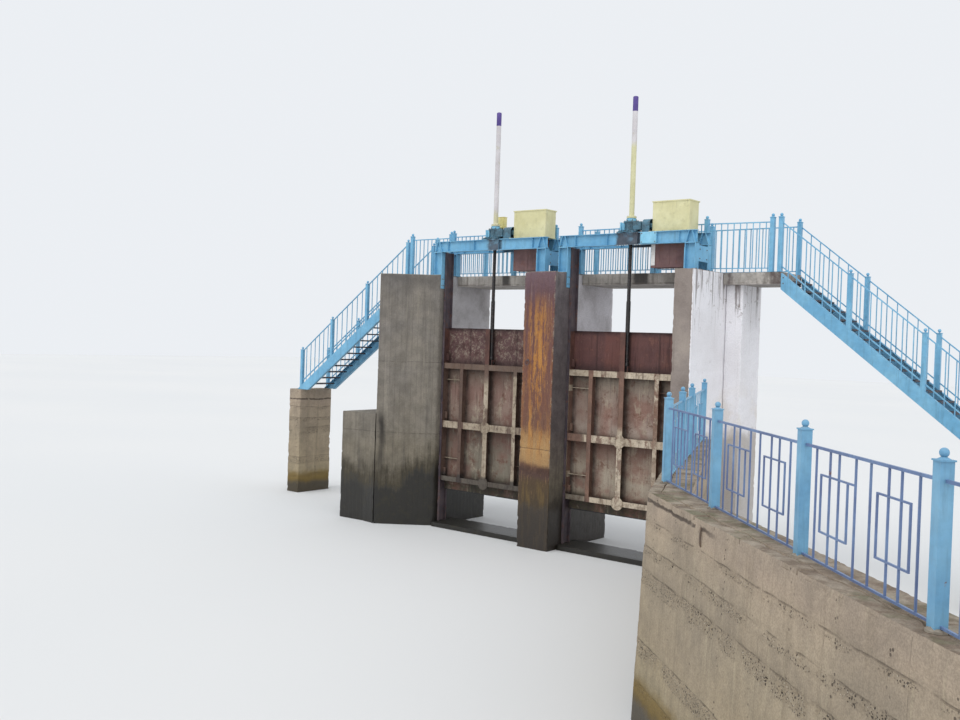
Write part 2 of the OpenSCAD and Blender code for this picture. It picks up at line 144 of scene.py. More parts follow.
class Soup:
    """Collects small closed shapes into one mesh."""

    def __init__(self):
        self.v, self.f, self.n = [], [], 0

    def add(self, verts, faces):
        self.v.append(np.asarray(verts, float).reshape(-1, 3))
        self.f += [tuple(i + self.n for i in fc) for fc in faces]
        self.n += len(self.v[-1])

    def box(self, a, b, bevel=0.0, M=None):
        """Box from corner a to corner b with its edges cut by bevel."""
        a, b = np.minimum(a, b).astype(float), np.maximum(a, b).astype(float)
        r = min(bevel, 0.45 * float((b - a).min()))
        if r <= 0:
            v = [(x, y, z) for x in (a[0], b[0]) for y in (a[1], b[1]) for z in (a[2], b[2])]
            f = [(0, 1, 3, 2), (4, 6, 7, 5), (0, 4, 5, 1), (2, 3, 7, 6), (0, 2, 6, 4), (1, 5, 7, 3)]
        else:
            v, idx = [], {}
            for sx in (0, 1):
                for sy in (0, 1):
                    for sz in (0, 1):
                        c = np.array([(a, b)[sx][0], (a, b)[sy][1], (a, b)[sz][2]])
                        d = np.array([r if sx == 0 else -r, r if sy == 0 else -r, r if sz == 0 else -r])
                        for k in range(3):
                            m = d.copy()
                            m[k] = 0
                            idx[(sx, sy, sz, k)] = len(v)
                            v.append(c + m)
            f = []
            g = lambda x, y, z, k: idx[(x, y, z, k)]
            for s in (0, 1):
                q = [g(s, 0, 0, 0), g(s, 1, 0, 0), g(s, 1, 1, 0), g(s, 0, 1, 0)]
                f.append(tuple(q if s else q[::-1]))
                q = [g(0, s, 0, 1), g(0, s, 1, 1), g(1, s, 1, 1), g(1, s, 0, 1)]
                f.append(tuple(q if s else q[::-1]))
                q = [g(0, 0, s, 2), g(1, 0, s, 2), g(1, 1, s, 2), g(0, 1, s, 2)]
                f.append(tuple(q if s else q[::-1]))
            for i in (0, 1):
                for j in (0, 1):
                    # cut edges along x, y and z
                    f.append((g(0, i, j, 1), g(1, i, j, 1), g(1, i, j, 2), g(0, i, j, 2)))
                    f.append((g(i, 0, j, 0), g(i, 1, j, 0), g(i, 1, j, 2), g(i, 0, j, 2)))
                    f.append((g(i, j, 0, 0), g(i, j, 1, 0), g(i, j, 1, 1), g(i, j, 0, 1)))
            for i in (0, 1):
                for j in (0, 1):
                    for k in (0, 1):
                        f.append((g(i, j, k, 0), g(i, j, k, 1), g(i, j, k, 2)))
        v = np.array(v, float)
        if M is not None:
            v = (np.array(M.to_3x3()) @ v.T).T + np.array(M.translation)
        self.add(v, f)

    def tube(self, p, q, r0, r1=None, n=16, caps=True, phase=0.0):
        """Round or many-sided bar from p to q."""
        r1 = r0 if r1 is None else r1
        p, q = np.array(p, float), np.array(q, float)
        w = q - p
        L = np.linalg.norm(w)
        w = w / L
        u = np.cross(w, [0, 0, 1.0]) if abs(w[2]) < 0.9 else np.cross(w, [1.0, 0, 0])
        u /= np.linalg.norm(u)
        s = np.cross(w, u)
        t = np.arange(n) * 2 * math.pi / n + phase
        ring = np.outer(np.cos(t), u) + np.outer(np.sin(t), s)
        v = np.vstack([p + ring * r0, q + ring * r1])
        f = [(i, (i + 1) % n, n + (i + 1) % n, n + i) for i in range(n)]
        if caps:
            f += [tuple(range(n))[::-1], tuple(range(n, 2 * n))]
        self.add(v, f)

    def lathe(self, c, axis, prof, n=24):
        """Closed turned shape: prof is a list of (radius, height) along the axis."""
        c, w = np.array(c, float), np.array(axis, float)
        w /= np.linalg.norm(w)
        u = np.cross(w, [0, 0, 1.0]) if abs(w[2]) < 0.9 else np.cross(w, [1.0, 0, 0])
        u /= np.linalg.norm(u)
        s = np.cross(w, u)
        t = np.arange(n) * 2 * math.pi / n
        ring = np.outer(np.cos(t), u) + np.outer(np.sin(t), s)
        v = np.vstack([c + w * h + ring * r for r, h in prof])
        f = []
        for k in range(len(prof) - 1):
            f += [(k * n + i, k * n + (i + 1) % n, (k + 1) * n + (i + 1) % n, (k + 1) * n + i) for i in range(n)]
        m = (len(prof) - 1) * n
        f += [tuple(range(n))[::-1], tuple(range(m, m + n))]
        self.add(v, f)

    def bolt(self, c, axis, r=0.012, h=0.009, washer=True, turn=0.0):
        """Washer, hexagon head and stub, standing on c along the axis."""
        c, w = np.array(c, float), np.array(axis, float)
        w = w / np.linalg.norm(w)
        if washer:
            self.tube(c - w * 0.001, c + w * 0.0025, r * 1.45, n=12)
        self.lathe_n(c + w * 0.0022, w, [(r * 0.98, 0), (r, 0.001), (r, h - 0.0015), (r * 0.86, h)], 6, turn)
        self.lathe_n(c + w * h, w, [(r * 0.5, 0), (r * 0.5, h * 0.5), (r * 0.4, h * 0.62)], 8, 0)

    def lathe_n(self, c, w, prof, n, turn):
        c, w = np.array(c, float), np.array(w, float)
        u = np.cross(w, [0, 0, 1.0]) if abs(w[2]) < 0.9 else np.cross(w, [1.0, 0, 0])
        u /= np.linalg.norm(u)
        s = np.cross(w, u)
        t = np.arange(n) * 2 * math.pi / n + turn
        ring = np.outer(np.cos(t), u) + np.outer(np.sin(t), s)
        v = np.vstack([c + w * h + ring * r for r, h in prof])
        f = []
        for k in range(len(prof) - 1):
            f += [(k * n + i, k * n + (i + 1) % n, (k + 1) * n + (i + 1) % n, (k + 1) * n + i) for i in range(n)]
        m = (len(prof) - 1) * n
        f += [tuple(range(n))[::-1], tuple(range(m, m + n))]
        self.add(v, f)

    def bead(self, pts, r=0.006, seed=1):
        """Uneven weld bead along the points."""
        pts = np.array(pts, float)
        n = len(pts)
        w = pts[-1] - pts[0]
        w /= np.linalg.norm(w)
        u = np.cross(w, [0, 0, 1.0]) if abs(w[2]) < 0.9 else np.cross(w, [1.0, 0, 0])
        u /= np.linalg.norm(u)
        s = np.cross(w, u)
        t = np.arange(6) * math.pi / 3
        ring = np.outer(np.cos(t), u) + np.outer(np.sin(t), s)
        rr = r * (0.75 + 0.5 * vnoise(pts, 45, seed))
        rr[0] = rr[-1] = r * 0.4
        v = np.vstack([pts[k] + ring * rr[k] for k in range(n)])
        f = [(k * 6 + i, k * 6 + (i + 1) % 6, (k + 1) * 6 + (i + 1) % 6, (k + 1) * 6 + i) for k in range(n - 1) for i in range(6)]
        f += [tuple(range(6))[::-1], tuple(range((n - 1) * 6, n * 6))]
        self.add(v, f)

    def make(self, name, body="structure", mat=None, slot=None, smooth=35):
        o = make(name, np.vstack(self.v), self.f, body, mat, 0)
        outward(o.data)
        o.data.polygons.foreach_set("use_smooth", [True] * len(o.data.polygons))
        o.data.set_sharp_from_angle(angle=math.radians(smooth))
        return o


def line(a, b, step=0.03):
    a, b = np.array(a, float), np.array(b, float)
    n = max(3, int(np.linalg.norm(b - a) / step))
    return [tuple(a + (b - a) * i / n) for i in range(n + 1)]


# ---------------------------------------------------------------- materials


class Mt:
    """Small wrapper for building a node material."""

    def __init__(self, name):
        self.m = bpy.data.materials.new(name)
        self.m.use_nodes = True
        self.t = self.m.node_tree
        self.t.nodes.clear()
        self.out = self.t.nodes.new("ShaderNodeOutputMaterial")
        self.p = self.t.nodes.new("ShaderNodeBsdfPrincipled")
        self.t.links.new(self.p.outputs[0], self.out.inputs[0])
        tc = self.t.nodes.new("ShaderNodeTexCoord")
        self.O = tc.outputs["Object"]
        sx = self.t.nodes.new("ShaderNodeSeparateXYZ")
        self.t.links.new(self.O, sx.inputs[0])
        self.x, self.y, self.z = sx.outputs

    def put(self, sock, v):
        if isinstance(v, bpy.types.NodeSocket):
            self.t.links.new(v, sock)
        elif isinstance(v, tuple) and len(v) == 3 and sock.type == "RGBA":
            sock.default_value = col(v)
        else:
            sock.default_value = v

    def math(self, op, a, b=None, c=None, clamp=False):
        n = self.t.nodes.new("ShaderNodeMath")
        n.operation = op
        n.use_clamp = clamp
        self.put(n.inputs[0], a)
        if b is not None:
            self.put(n.inputs[1], b)
        if c is not None:
            self.put(n.inputs[2], c)
        return n.outputs[0]

    def mul(self, a, b):
        return self.math("MULTIPLY", a, b)

    def add(self, a, b):
        return self.math("ADD", a, b)

    def vec(self, sx, sy, sz, off=(0, 0, 0)):
        n = self.t.nodes.new("ShaderNodeMapping")
        self.t.links.new(self.O, n.inputs["Vector"])
        n.inputs["Scale"].default_value = (sx, sy, sz)
        n.inputs["Location"].default_value = off
        return n.outputs[0]

    def noise(self, scale, detail=3.0, rough=0.55, vec=None, dist=0.0):
        n = self.t.nodes.new("ShaderNodeTexNoise")
        self.t.links.new(vec if vec is not None else self.O, n.inputs["Vector"])
        n.inputs["Scale"].default_value = scale
        n.inputs["Detail"].default_value = detail
        n.inputs["Roughness"].default_value = rough
        n.inputs["Distortion"].default_value = dist
        return n.outputs["Fac"]

    def vor(self, scale, vec=None, feature="F1", rand=1.0):
        n = self.t.nodes.new("ShaderNodeTexVoronoi")
        n.feature = feature
        self.t.links.new(vec if vec is not None else self.O, n.inputs["Vector"])
        n.inputs["Scale"].default_value = scale
        n.inputs["Randomness"].default_value = rand
        return n.outputs["Distance"]

    def white(self, v):
        n = self.t.nodes.new("ShaderNodeTexWhiteNoise")
        n.noise_dimensions = "1D"
        self.put(n.inputs["W"], v)
        return n.outputs["Value"]

    def mr(self, v, a, b, c=0.0, d=1.0):
        n = self.t.nodes.new("ShaderNodeMapRange")
        n.interpolation_type = "SMOOTHSTEP"
        self.put(n.inputs["Value"], v)
        if a <= b:
            n.inputs["From Min"].default_value, n.inputs["From Max"].default_value = a, b
            n.inputs["To Min"].default_value, n.inputs["To Max"].default_value = c, d
        else:
            n.inputs["From Min"].default_value, n.inputs["From Max"].default_value = b, a
            n.inputs["To Min"].default_value, n.inputs["To Max"].default_value = d, c
        return n.outputs[0]

    def band(self, v, a, b, s):
        """1 between a and b, with soft ends s wide."""
        return self.mul(self.mr(v, a - s, a + s), self.mr(v, b + s, b - s))

    def ramp(self, v, stops, mode="LINEAR"):
        n = self.t.nodes.new("ShaderNodeValToRGB")
        n.color_ramp.interpolation = mode
        e = n.color_ramp.elements
        e[0].position, e[0].color = stops[0][0], col(stops[0][1])
        e[1].position, e[1].color = stops[-1][0], col(stops[-1][1])
        for p, c in stops[1:-1]:
            k = e.new(p)
            k.color = col(c)
        self.put(n.inputs[0], v)
        return n.outputs[0]

    def framp(self, v, stops):
        """Ramp of plain numbers."""
        n = self.t.nodes.new("ShaderNodeValToRGB")
        e = n.color_ramp.elements
        e[0].position, e[0].color = stops[0][0], (stops[0][1],) * 3 + (1,)
        e[1].position, e[1].color = stops[-1][0], (stops[-1][1],) * 3 + (1,)
        for p, c in stops[1:-1]:
            k = e.new(p)
            k.color = (c, c, c, 1)
        self.put(n.inputs[0], v)
        bw = self.t.nodes.new("ShaderNodeRGBToBW")
        self.t.links.new(n.outputs[0], bw.inputs[0])
        return bw.outputs[0]

    def mix(self, f, a, b, mode="MIX"):
        n = self.t.nodes.new("ShaderNodeMix")
        n.data_type = "RGBA"
        n.blend_type = mode
        self.put(n.inputs[0], f)
        self.put(n.inputs[6], a)
        self.put(n.inputs[7], b)
        return n.outputs[2]

    def shade(self, c, f, lo, hi):
        """Colour c times a factor from lo to hi as f goes from 0 to 1."""
        g = self.mr(f, 0.0, 1.0, lo, hi)
        n = self.t.nodes.new("ShaderNodeCombineColor")
        for i in range(3):
            self.t.links.new(g, n.inputs[i])
        return self.mix(1.0, c, n.outputs[0], "MULTIPLY")

    def attr(self, name):
        n = self.t.nodes.new("ShaderNodeAttribute")
        n.attribute_type = "GEOMETRY"
        n.attribute_name = name
        return n.outputs["Fac"]

    def normal_z(self):
        g = self.t.nodes.new("ShaderNodeNewGeometry")
        s = self.t.nodes.new("ShaderNodeSeparateXYZ")
        self.t.links.new(g.outputs["Normal"], s.inputs[0])
        return s.outputs

    def bump(self, h, dist=0.003, strength=1.0, base=None):
        n = self.t.nodes.new("ShaderNodeBump")
        n.inputs["Distance"].default_value = dist
        n.inputs["Strength"].default_value = strength
        self.put(n.inputs["Height"], h)
        if base is not None:
            self.t.links.new(base, n.inputs["Normal"])
        return n.outputs[0]

    def done(self, color, rough, normal=None, metal=0.0, spec=None):
        self.put(self.p.inputs["Base Color"], color)
        self.put(self.p.inputs["Roughness"], rough)
        self.put(self.p.inputs["Metallic"], metal)
        if spec is not None:
            self.p.inputs["Specular IOR Level"].default_value = spec
        if normal is not None:
            self.t.links.new(normal, self.p.inputs["Normal"])
        return self.m


def boards(m, su, w, tone=0.10, groove=0.05):
    """Board marks along su: returns (tone offset 0..1, groove mask)."""
    q = m.math("DIVIDE", su, w)
    fl = m.math("FLOOR", q)
    fr = m.math("FRACT", q)
    edge = m.math("ABSOLUTE", m.math("SUBTRACT", fr, 0.5))
    return m.white(fl), m.mr(edge, 0.5 - groove, 0.5)


def mat_pier():
    m = Mt("pier_concrete")
    su = m.attr("su")
    n1 = m.noise(0.55, 4, 0.6)
    n2 = m.noise(2.6, 6, 0.65)
    n3 = m.noise(42, 3, 0.7)
    z = m.add(m.z, m.mul(m.math("SUBTRACT", m.noise(1.3, 4, 0.6), 0.5), 0.7))
    zr = m.math("DIVIDE", z, 6.5)
    c = m.ramp(zr, [(0.0, (86, 80, 70)), (0.2, (116, 109, 97)), (0.30, (138, 129, 113)), (0.37, (128, 121, 110)),
                    (0.6, (128, 122, 115)), (1.0, (126, 121, 117))])
    c = m.mix(m.mr(n1, 0.35, 0.7, 0.0, 0.45), c, (142, 133, 117))
    c = m.shade(c, m.mr(n2, 0.25, 0.75), 0.80, 1.16)
    tone, groove = boards(m, su, 0.14)
    c = m.shade(c, tone, 0.93, 1.06)
    # long runs of rain dirt
    st = m.noise(1.0, 5, 0.65, vec=m.vec(6.5, 6.5, 0.22))
    c = m.mix(m.mr(st, 0.50, 0.72, 0.0, 0.50), c, (82, 78, 76))
    st2 = m.noise(1.0, 4, 0.6, vec=m.vec(11, 11, 0.4, (3, 5, 1)))
    c = m.mix(m.mr(st2, 0.56, 0.74, 0.0, 0.5), c, (158, 150, 136))
    c = m.mix(m.mul(groove, 0.35), c, (70, 66, 60))
    # paler, drier part high up and dirt under the coping edge
    c = m.mix(m.mul(m.mr(m.z, 5.9, 6.45), m.mr(m.noise(4, 4, 0.6), 0.3, 0.7, 0.2, 0.75)), c, (92, 88, 84))
    # tide line: wet dark foot with algae
    n = m.noise(1.7, 6, 0.65)
    n5 = m.noise(9, 4, 0.6)
    zz = m.add(m.z, m.mul(m.math("SUBTRACT", n, 0.5), 1.3))
    zz = m.add(zz, m.mul(m.math("SUBTRACT", n5, 0.5), 0.25))
    dr = m.noise(1.0, 5, 0.7, vec=m.vec(10, 10, 0.9, (6, 2, 0)))
    zz = m.add(zz, m.mul(m.math("SUBTRACT", dr, 0.5), 0.9))
    # the damp reaches higher by the gate (towards +X)
    zz = m.math("SUBTRACT", zz, m.mr(m.x, -4.4, -3.4, 0.0, 0.45))
    damp = m.mr(zz, 1.75, 1.15)
    c = m.mix(m.mul(damp, 0.85), c, m.ramp(dr, [(0.35, (62, 56, 44)), (0.6, (86, 78, 60))]))
    for zk in (2.36, 4.20):
        pj = m.mr(m.math("ABSOLUTE", m.math("SUBTRACT", m.add(m.z, m.mul(m.math("SUBTRACT", m.noise(2.2, 4, 0.6), 0.5), 0.10)), zk)), 0.020, 0.004)
        c = m.mix(m.mul(pj, m.mr(n5, 0.35, 0.6, 0.1, 0.55)), c, (84, 78, 72))
    wet = m.mr(zz, 1.30, 0.85)
    c = m.mix(m.mul(wet, 0.92), c, (33, 31, 27))
    c = m.mix(m.mul(m.mul(wet, m.mr(m.noise(5, 5, 0.7), 0.5, 0.7)), 0.55), c, (58, 52, 30))
    # a run of dark drip below the shelf at the party corner
    drip = m.mul(m.band(m.add(m.x, m.mul(m.math("SUBTRACT", m.noise(3, 3, 0.6), 0.5), 0.16)), -4.62, -4.5, 0.05), m.band(m.z, 1.3, 2.83, 0.25))
    drip = m.mul(drip, m.mr(m.z, 1.2, 2.8, 0.35, 0.95))
    c = m.mix(drip, c, (52, 48, 44))
    # plastered inner side of the bay, above the gate
    ins = m.mul(m.mr(m.x, -3.50, -3.47), m.mul(m.mr(m.y, 0.02, 0.05), m.mr(m.z, 4.2, 5.0)))
    pl = m.ramp(m.noise(1.6, 5, 0.65), [(0.3, (166, 162, 162)), (0.5, (199, 196, 198)), (0.75, (214, 212, 216))])
    c = m.mix(m.mul(ins, 0.92), c, pl)
    top = m.mr(m.z, 6.425, 6.44)
    c = m.mix(m.mul(top, 0.8), c, m.ramp(n2, [(0.3, (120, 116, 108)), (0.7, (158, 154, 146))]))
    c = m.shade(c, m.mr(n3, 0.3, 0.7), 0.90, 1.08)
    c = m.shade(c, m.mr(m.add(m.z, m.mul(n2, 0.5)), 1.7, 3.4), 0.75, 0.93)
    c = m.shade(c, m.mr(m.x, -5.43, -5.47), 1.0, 0.93)
    pits = m.mr(m.vor(75), 0.0, 0.28)
    h = m.add(m.mul(n3, 0.5), m.mul(pits, 0.6))
    h = m.add(h, m.mul(m.math("SUBTRACT", 1.0, groove), 0.5))
    h = m.add(h, m.mul(n2, 1.2))
    nb = m.bump(h, 0.006, 0.8)
    r = m.mr(wet, 0.0, 1.0, 0.9, 0.42)
    return m.done(c, r, nb)


def mat_rust():
    m = Mt("rust_streaked_concrete")
    n2 = m.noise(3.4, 6, 0.65)
    n3 = m.noise(45, 3, 0.7)
    nz = m.noise(1.6, 5, 0.6)
    z = m.add(m.z, m.mul(m.math("SUBTRACT", nz, 0.5), 0.5))
    zr = m.math("DIVIDE", z, 6.5)
    front = m.mr(m.y, -0.765, -0.785)
    # downstream face, from the foot up
    f = m.ramp(zr, [(0.0, (52, 44, 36)), (0.16, (74, 62, 46)), (0.235, (80, 64, 46)), (0.262, (88, 66, 58)), (0.295, (104, 76, 60)),
                    (0.315, (160, 128, 88)), (0.36, (172, 138, 94)), (0.41, (156, 120, 80)), (0.44, (114, 82, 66)),
                    (0.62, (112, 76, 66)), (0.86, (102, 70, 70)), (0.93, (98, 74, 80)), (1.0, (112, 90, 96))])
    # long streaks of orange and brown that ran down the face
    s1 = m.noise(1.0, 6, 0.68, vec=m.vec(8.5, 8.5, 0.55, (1.3, 0, 0)), dist=0.25)
    s2 = m.noise(1.0, 5, 0.65, vec=m.vec(17, 17, 0.8, (7, 2, 3)), dist=0.2)
    xc = m.math("ABSOLUTE", m.add(m.x, m.add(0.02, m.mul(m.math("SUBTRACT", m.noise(1.4, 3, 0.6), 0.5), 0.25))))
    mid = m.mr(xc, 0.34, 0.08)
    zo = m.math("DIVIDE", m.z, 6.5)
    amt = m.framp(zo, [(0.0, 0.0), (0.27, 0.0), (0.31, 0.2), (0.42, 0.85), (0.56, 1.0), (0.70, 1.0), (0.84, 0.8), (0.885, 0.35), (0.92, 0.05), (1.0, 0.0)])
    s3 = m.noise(1.0, 7, 0.74, vec=m.vec(19, 19, 4.2, (2, 2, 6)), dist=0.4)
    so = m.add(m.mul(s1, 0.6), m.mul(s3, 0.4))
    o1 = m.mul(m.mul(m.mr(so, 0.465, 0.53), amt), m.mr(mid, 0.0, 1.0, 0.35, 1.0))
    f = m.mix(o1, f, m.ramp(s2, [(0.3, (146, 92, 48)), (0.5, (178, 122, 58)), (0.7, (198, 148, 84))]))
    o2 = m.mul(m.mr(s2, 0.52, 0.66), m.framp(zo, [(0.0, 0.1), (0.3, 0.2), (0.42, 0.7), (0.9, 0.6), (1.0, 0.15)]))
    f = m.mix(m.mul(o2, 0.62), f, (88, 56, 50))
    o3 = m.mul(m.mr(s3, 0.56, 0.62), m.framp(zo, [(0.0, 0.05), (0.28, 0.1), (0.40, 0.8), (0.88, 0.7), (1.0, 0.3)]))
    f = m.mix(m.mul(o3, 0.7), f, (78, 50, 44))
    o4 = m.mul(m.mr(m.noise(1.0, 7, 0.75, vec=m.vec(26, 26, 3.2, (9, 1, 1)), dist=0.3), 0.58, 0.63), m.framp(zo, [(0.0, 0.0), (0.28, 0.3), (0.45, 0.8), (0.86, 0.6), (0.9, 0.1)]))
    f = m.mix(m.mul(o4, 0.65), f, (206, 164, 104))
    # patches where the brown crust is whole
    pt = m.mul(m.mr(m.noise(2.3, 4, 0.55, vec=m.vec(1.4, 1, 0.8, (4, 1, 2))), 0.52, 0.60), m.band(m.z, 2.75, 4.3, 0.15))
    f = m.mix(m.mul(pt, 0.35), f, (112, 72, 58))
    # pale runs near the top
    w = m.mul(m.mr(m.noise(1.0, 5, 0.7, vec=m.vec(14, 14, 1.1, (2, 9, 4))), 0.60, 0.68), m.mr(m.z, 5.2, 6.2, 0.0, 0.7))
    f = m.mix(w, f, (170, 148, 138))
    # joint of the two pours, and moss and damp marks under it
    jz = m.math("ABSOLUTE", m.math("SUBTRACT", m.add(m.z, m.mul(m.math("SUBTRACT", m.noise(5, 3, 0.6), 0.5), 0.05)), 2.33))
    f = m.mix(m.mul(m.mr(jz, 0.016, 0.004), 0.6), f, (84, 56, 38))
    ms = m.mul(m.mr(m.noise(1.0, 5, 0.7, vec=m.vec(16, 16, 1.3)), 0.48, 0.62), m.mr(m.z, 1.75, 1.35))
    f = m.mix(m.mul(ms, 0.7), f, (104, 84, 50))
    ed = m.mul(m.mr(m.z, 1.55, 1.85), m.mr(m.z, 2.0, 1.85))
    f = m.mix(m.mul(ed, m.mr(n2, 0.35, 0.6, 0.2, 0.75)), f, (60, 40, 36))
    # other faces
    g = m.ramp(zr, [(0.0, (54, 50, 44)), (0.17, (88, 82, 72)), (0.24, (120, 112, 98)), (0.34, (118, 109, 101)), (0.42, (100, 92, 91)),
                    (0.9, (104, 96, 98)), (1.0, (122, 115, 114))])
    g = m.shade(g, m.mr(n2, 0.25, 0.75), 0.78, 1.2)
    g = m.mix(m.mr(m.noise(1.0, 4, 0.6, vec=m.vec(6, 6, 0.4)), 0.5, 0.7, 0, 0.5), g, (58, 53, 52))
    # plastered upstream part of the side, above the gates
    ins = m.mul(m.mr(m.y, 0.05, 0.08), m.mr(m.z, 4.2, 5.0))
    pl = m.ramp(m.noise(1.5, 5, 0.65, vec=m.vec(1, 1, 0.7)), [(0.28, (176, 172, 174)), (0.5, (208, 205, 209)), (0.75, (221, 219, 224))])
    g = m.mix(m.mul(ins, 0.93), g, pl)
    c = m.mix(front, g, f)
    # worn arris: bare paler concrete
    ed2 = m.attr("ed")
    chip = m.mul(m.mr(ed2, 0.35, 0.8), m.mr(m.noise(11, 4, 0.65), 0.50, 0.62))
    chip = m.mul(chip, m.mr(m.z, 1.6, 2.4, 0.15, 0.8))
    c = m.mix(m.mul(chip, 0.75), c, (158, 146, 130))
    top = m.mr(m.z, 6.425, 6.44)
    c = m.mix(m.mul(top, 0.75), c, m.ramp(n2, [(0.3, (104, 94, 88)), (0.7, (146, 136, 128))]))
    wet = m.mr(m.add(m.z, m.mul(m.math("SUBTRACT", n2, 0.5), 0.8)), 1.25, 0.75)
    c = m.mix(m.mul(wet, 0.75), c, (44, 37, 31))
    c = m.shade(c, m.mr(n3, 0.3, 0.7), 0.88, 1.10)
    h = m.add(m.mul(n3, 0.5), m.mul(m.mr(m.vor(70), 0.0, 0.3), 0.5))
    h = m.add(h, m.add(m.mul(s1, 1.2), m.mul(n2, 0.8)))
    nb = m.bump(h, 0.007, 0.8)
    return m.done(c, m.mr(wet, 0.0, 1.0, 0.88, 0.45), nb)


def mat_white():
    """Right pier and landing wall: grey front, whitewashed sides."""
    m = Mt("whitewashed_concrete")
    n2 = m.noise(3.0, 6, 0.65)
    n3 = m.noise(46, 3, 0.7)
    # grey-brown cast face on the open side
    g = m.ramp(m.noise(1.2, 5, 0.6), [(0.3, (124, 113, 106)), (0.5, (144, 133, 126)), (0.72, (162, 150, 140))])
    g = m.mix(m.mr(m.noise(1.0, 5, 0.6, vec=m.vec(9, 9, 0.35)), 0.5, 0.7, 0, 0.55), g, (112, 98, 90))
    g = m.mix(m.mul(m.mr(m.vor(22), 0.12, 0.05), 0.7), g, (178, 170, 160))
    g = m.mix(m.mr(m.add(m.z, m.mul(n2, 0.9)), 1.9, 1.1, 0, 0.85), g, (62, 56, 48))
    # side in the bay: old plaster
    pl = m.ramp(m.noise(1.4, 5, 0.65), [(0.28, (166, 162, 161)), (0.5, (200, 197, 198)), (0.75, (214, 212, 216))])
    g = m.mix(m.mul(m.mr(m.x, 3.50, 3.47), m.mul(m.mr(m.y, 0.02, 0.06), m.mr(m.z, 4.2, 5.0))), g, pl)
    # whitewash with runs of dirt from the top
    w = m.ramp(m.noise(0.9, 5, 0.6), [(0.3, (228, 225, 227)), (0.6, (241, 239, 242)), (0.8, (246, 245, 248))])
    s1 = m.noise(1.0, 6, 0.68, vec=m.vec(7, 7, 0.33, (2, 4, 0)))
    run = m.mul(m.mr(m.math("SUBTRACT", s1, m.mr(m.z, 6.35, 4.6, 0.0, 0.20)), 0.50, 0.58), m.mr(m.z, 4.2, 5.6, 0.3, 1.0))
    w = m.mix(m.mul(run, 0.85), w, (126, 116, 114))
    s2 = m.noise(1.0, 5, 0.6, vec=m.vec(15, 15, 0.5, (5, 1, 8)))
    w = m.mix(m.mul(m.mr(s2, 0.57, 0.68), m.mr(m.z, 3.6, 6.3, 0.06, 0.5)), w, (176, 168, 164))
    # warm stain low down
    w = m.mix(m.mul(m.mr(m.noise(1.7, 5, 0.65), 0.45, 0.65), m.mr(m.z, 4.4, 3.0, 0.0, 0.45)), w, (214, 202, 184))
    w = m.mix(m.mr(m.add(m.z, m.mul(n2, 0.5)), 3.35, 3.05, 0, 0.6), w, (150, 140, 126))
    # the paint ends in a ragged line round the pier's corner
    rag = m.add(m.x, m.mul(m.math("SUBTRACT", m.noise(13, 4, 0.7), 0.5), 0.05))
    isw = m.math("MAXIMUM", m.mr(rag, 3.868, 3.878), m.mr(m.y, 0.835, 0.842))
    flake = m.mul(m.mr(m.noise(6, 6, 0.72), 0.60, 0.64), m.mr(m.z, 4.6, 6.3, 0.15, 1.0))
    isw = m.mul(isw, m.mr(flake, 0.0, 1.0, 1.0, 0.35))
    c = m.mix(isw, g, w)
    top = m.mr(m.z, 6.425, 6.44)
    c = m.mix(m.mul(top, 0.85), c, (138, 130, 122))
    c = m.shade(c, m.mr(n3, 0.3, 0.7), 0.92, 1.05)
    h = m.add(m.mul(n3, 0.5), m.mul(n2, 1.0))
    h = m.add(h, m.mul(isw, 0.35))
    return m.done(c, 0.86, m.bump(h, 0.006, 0.75))


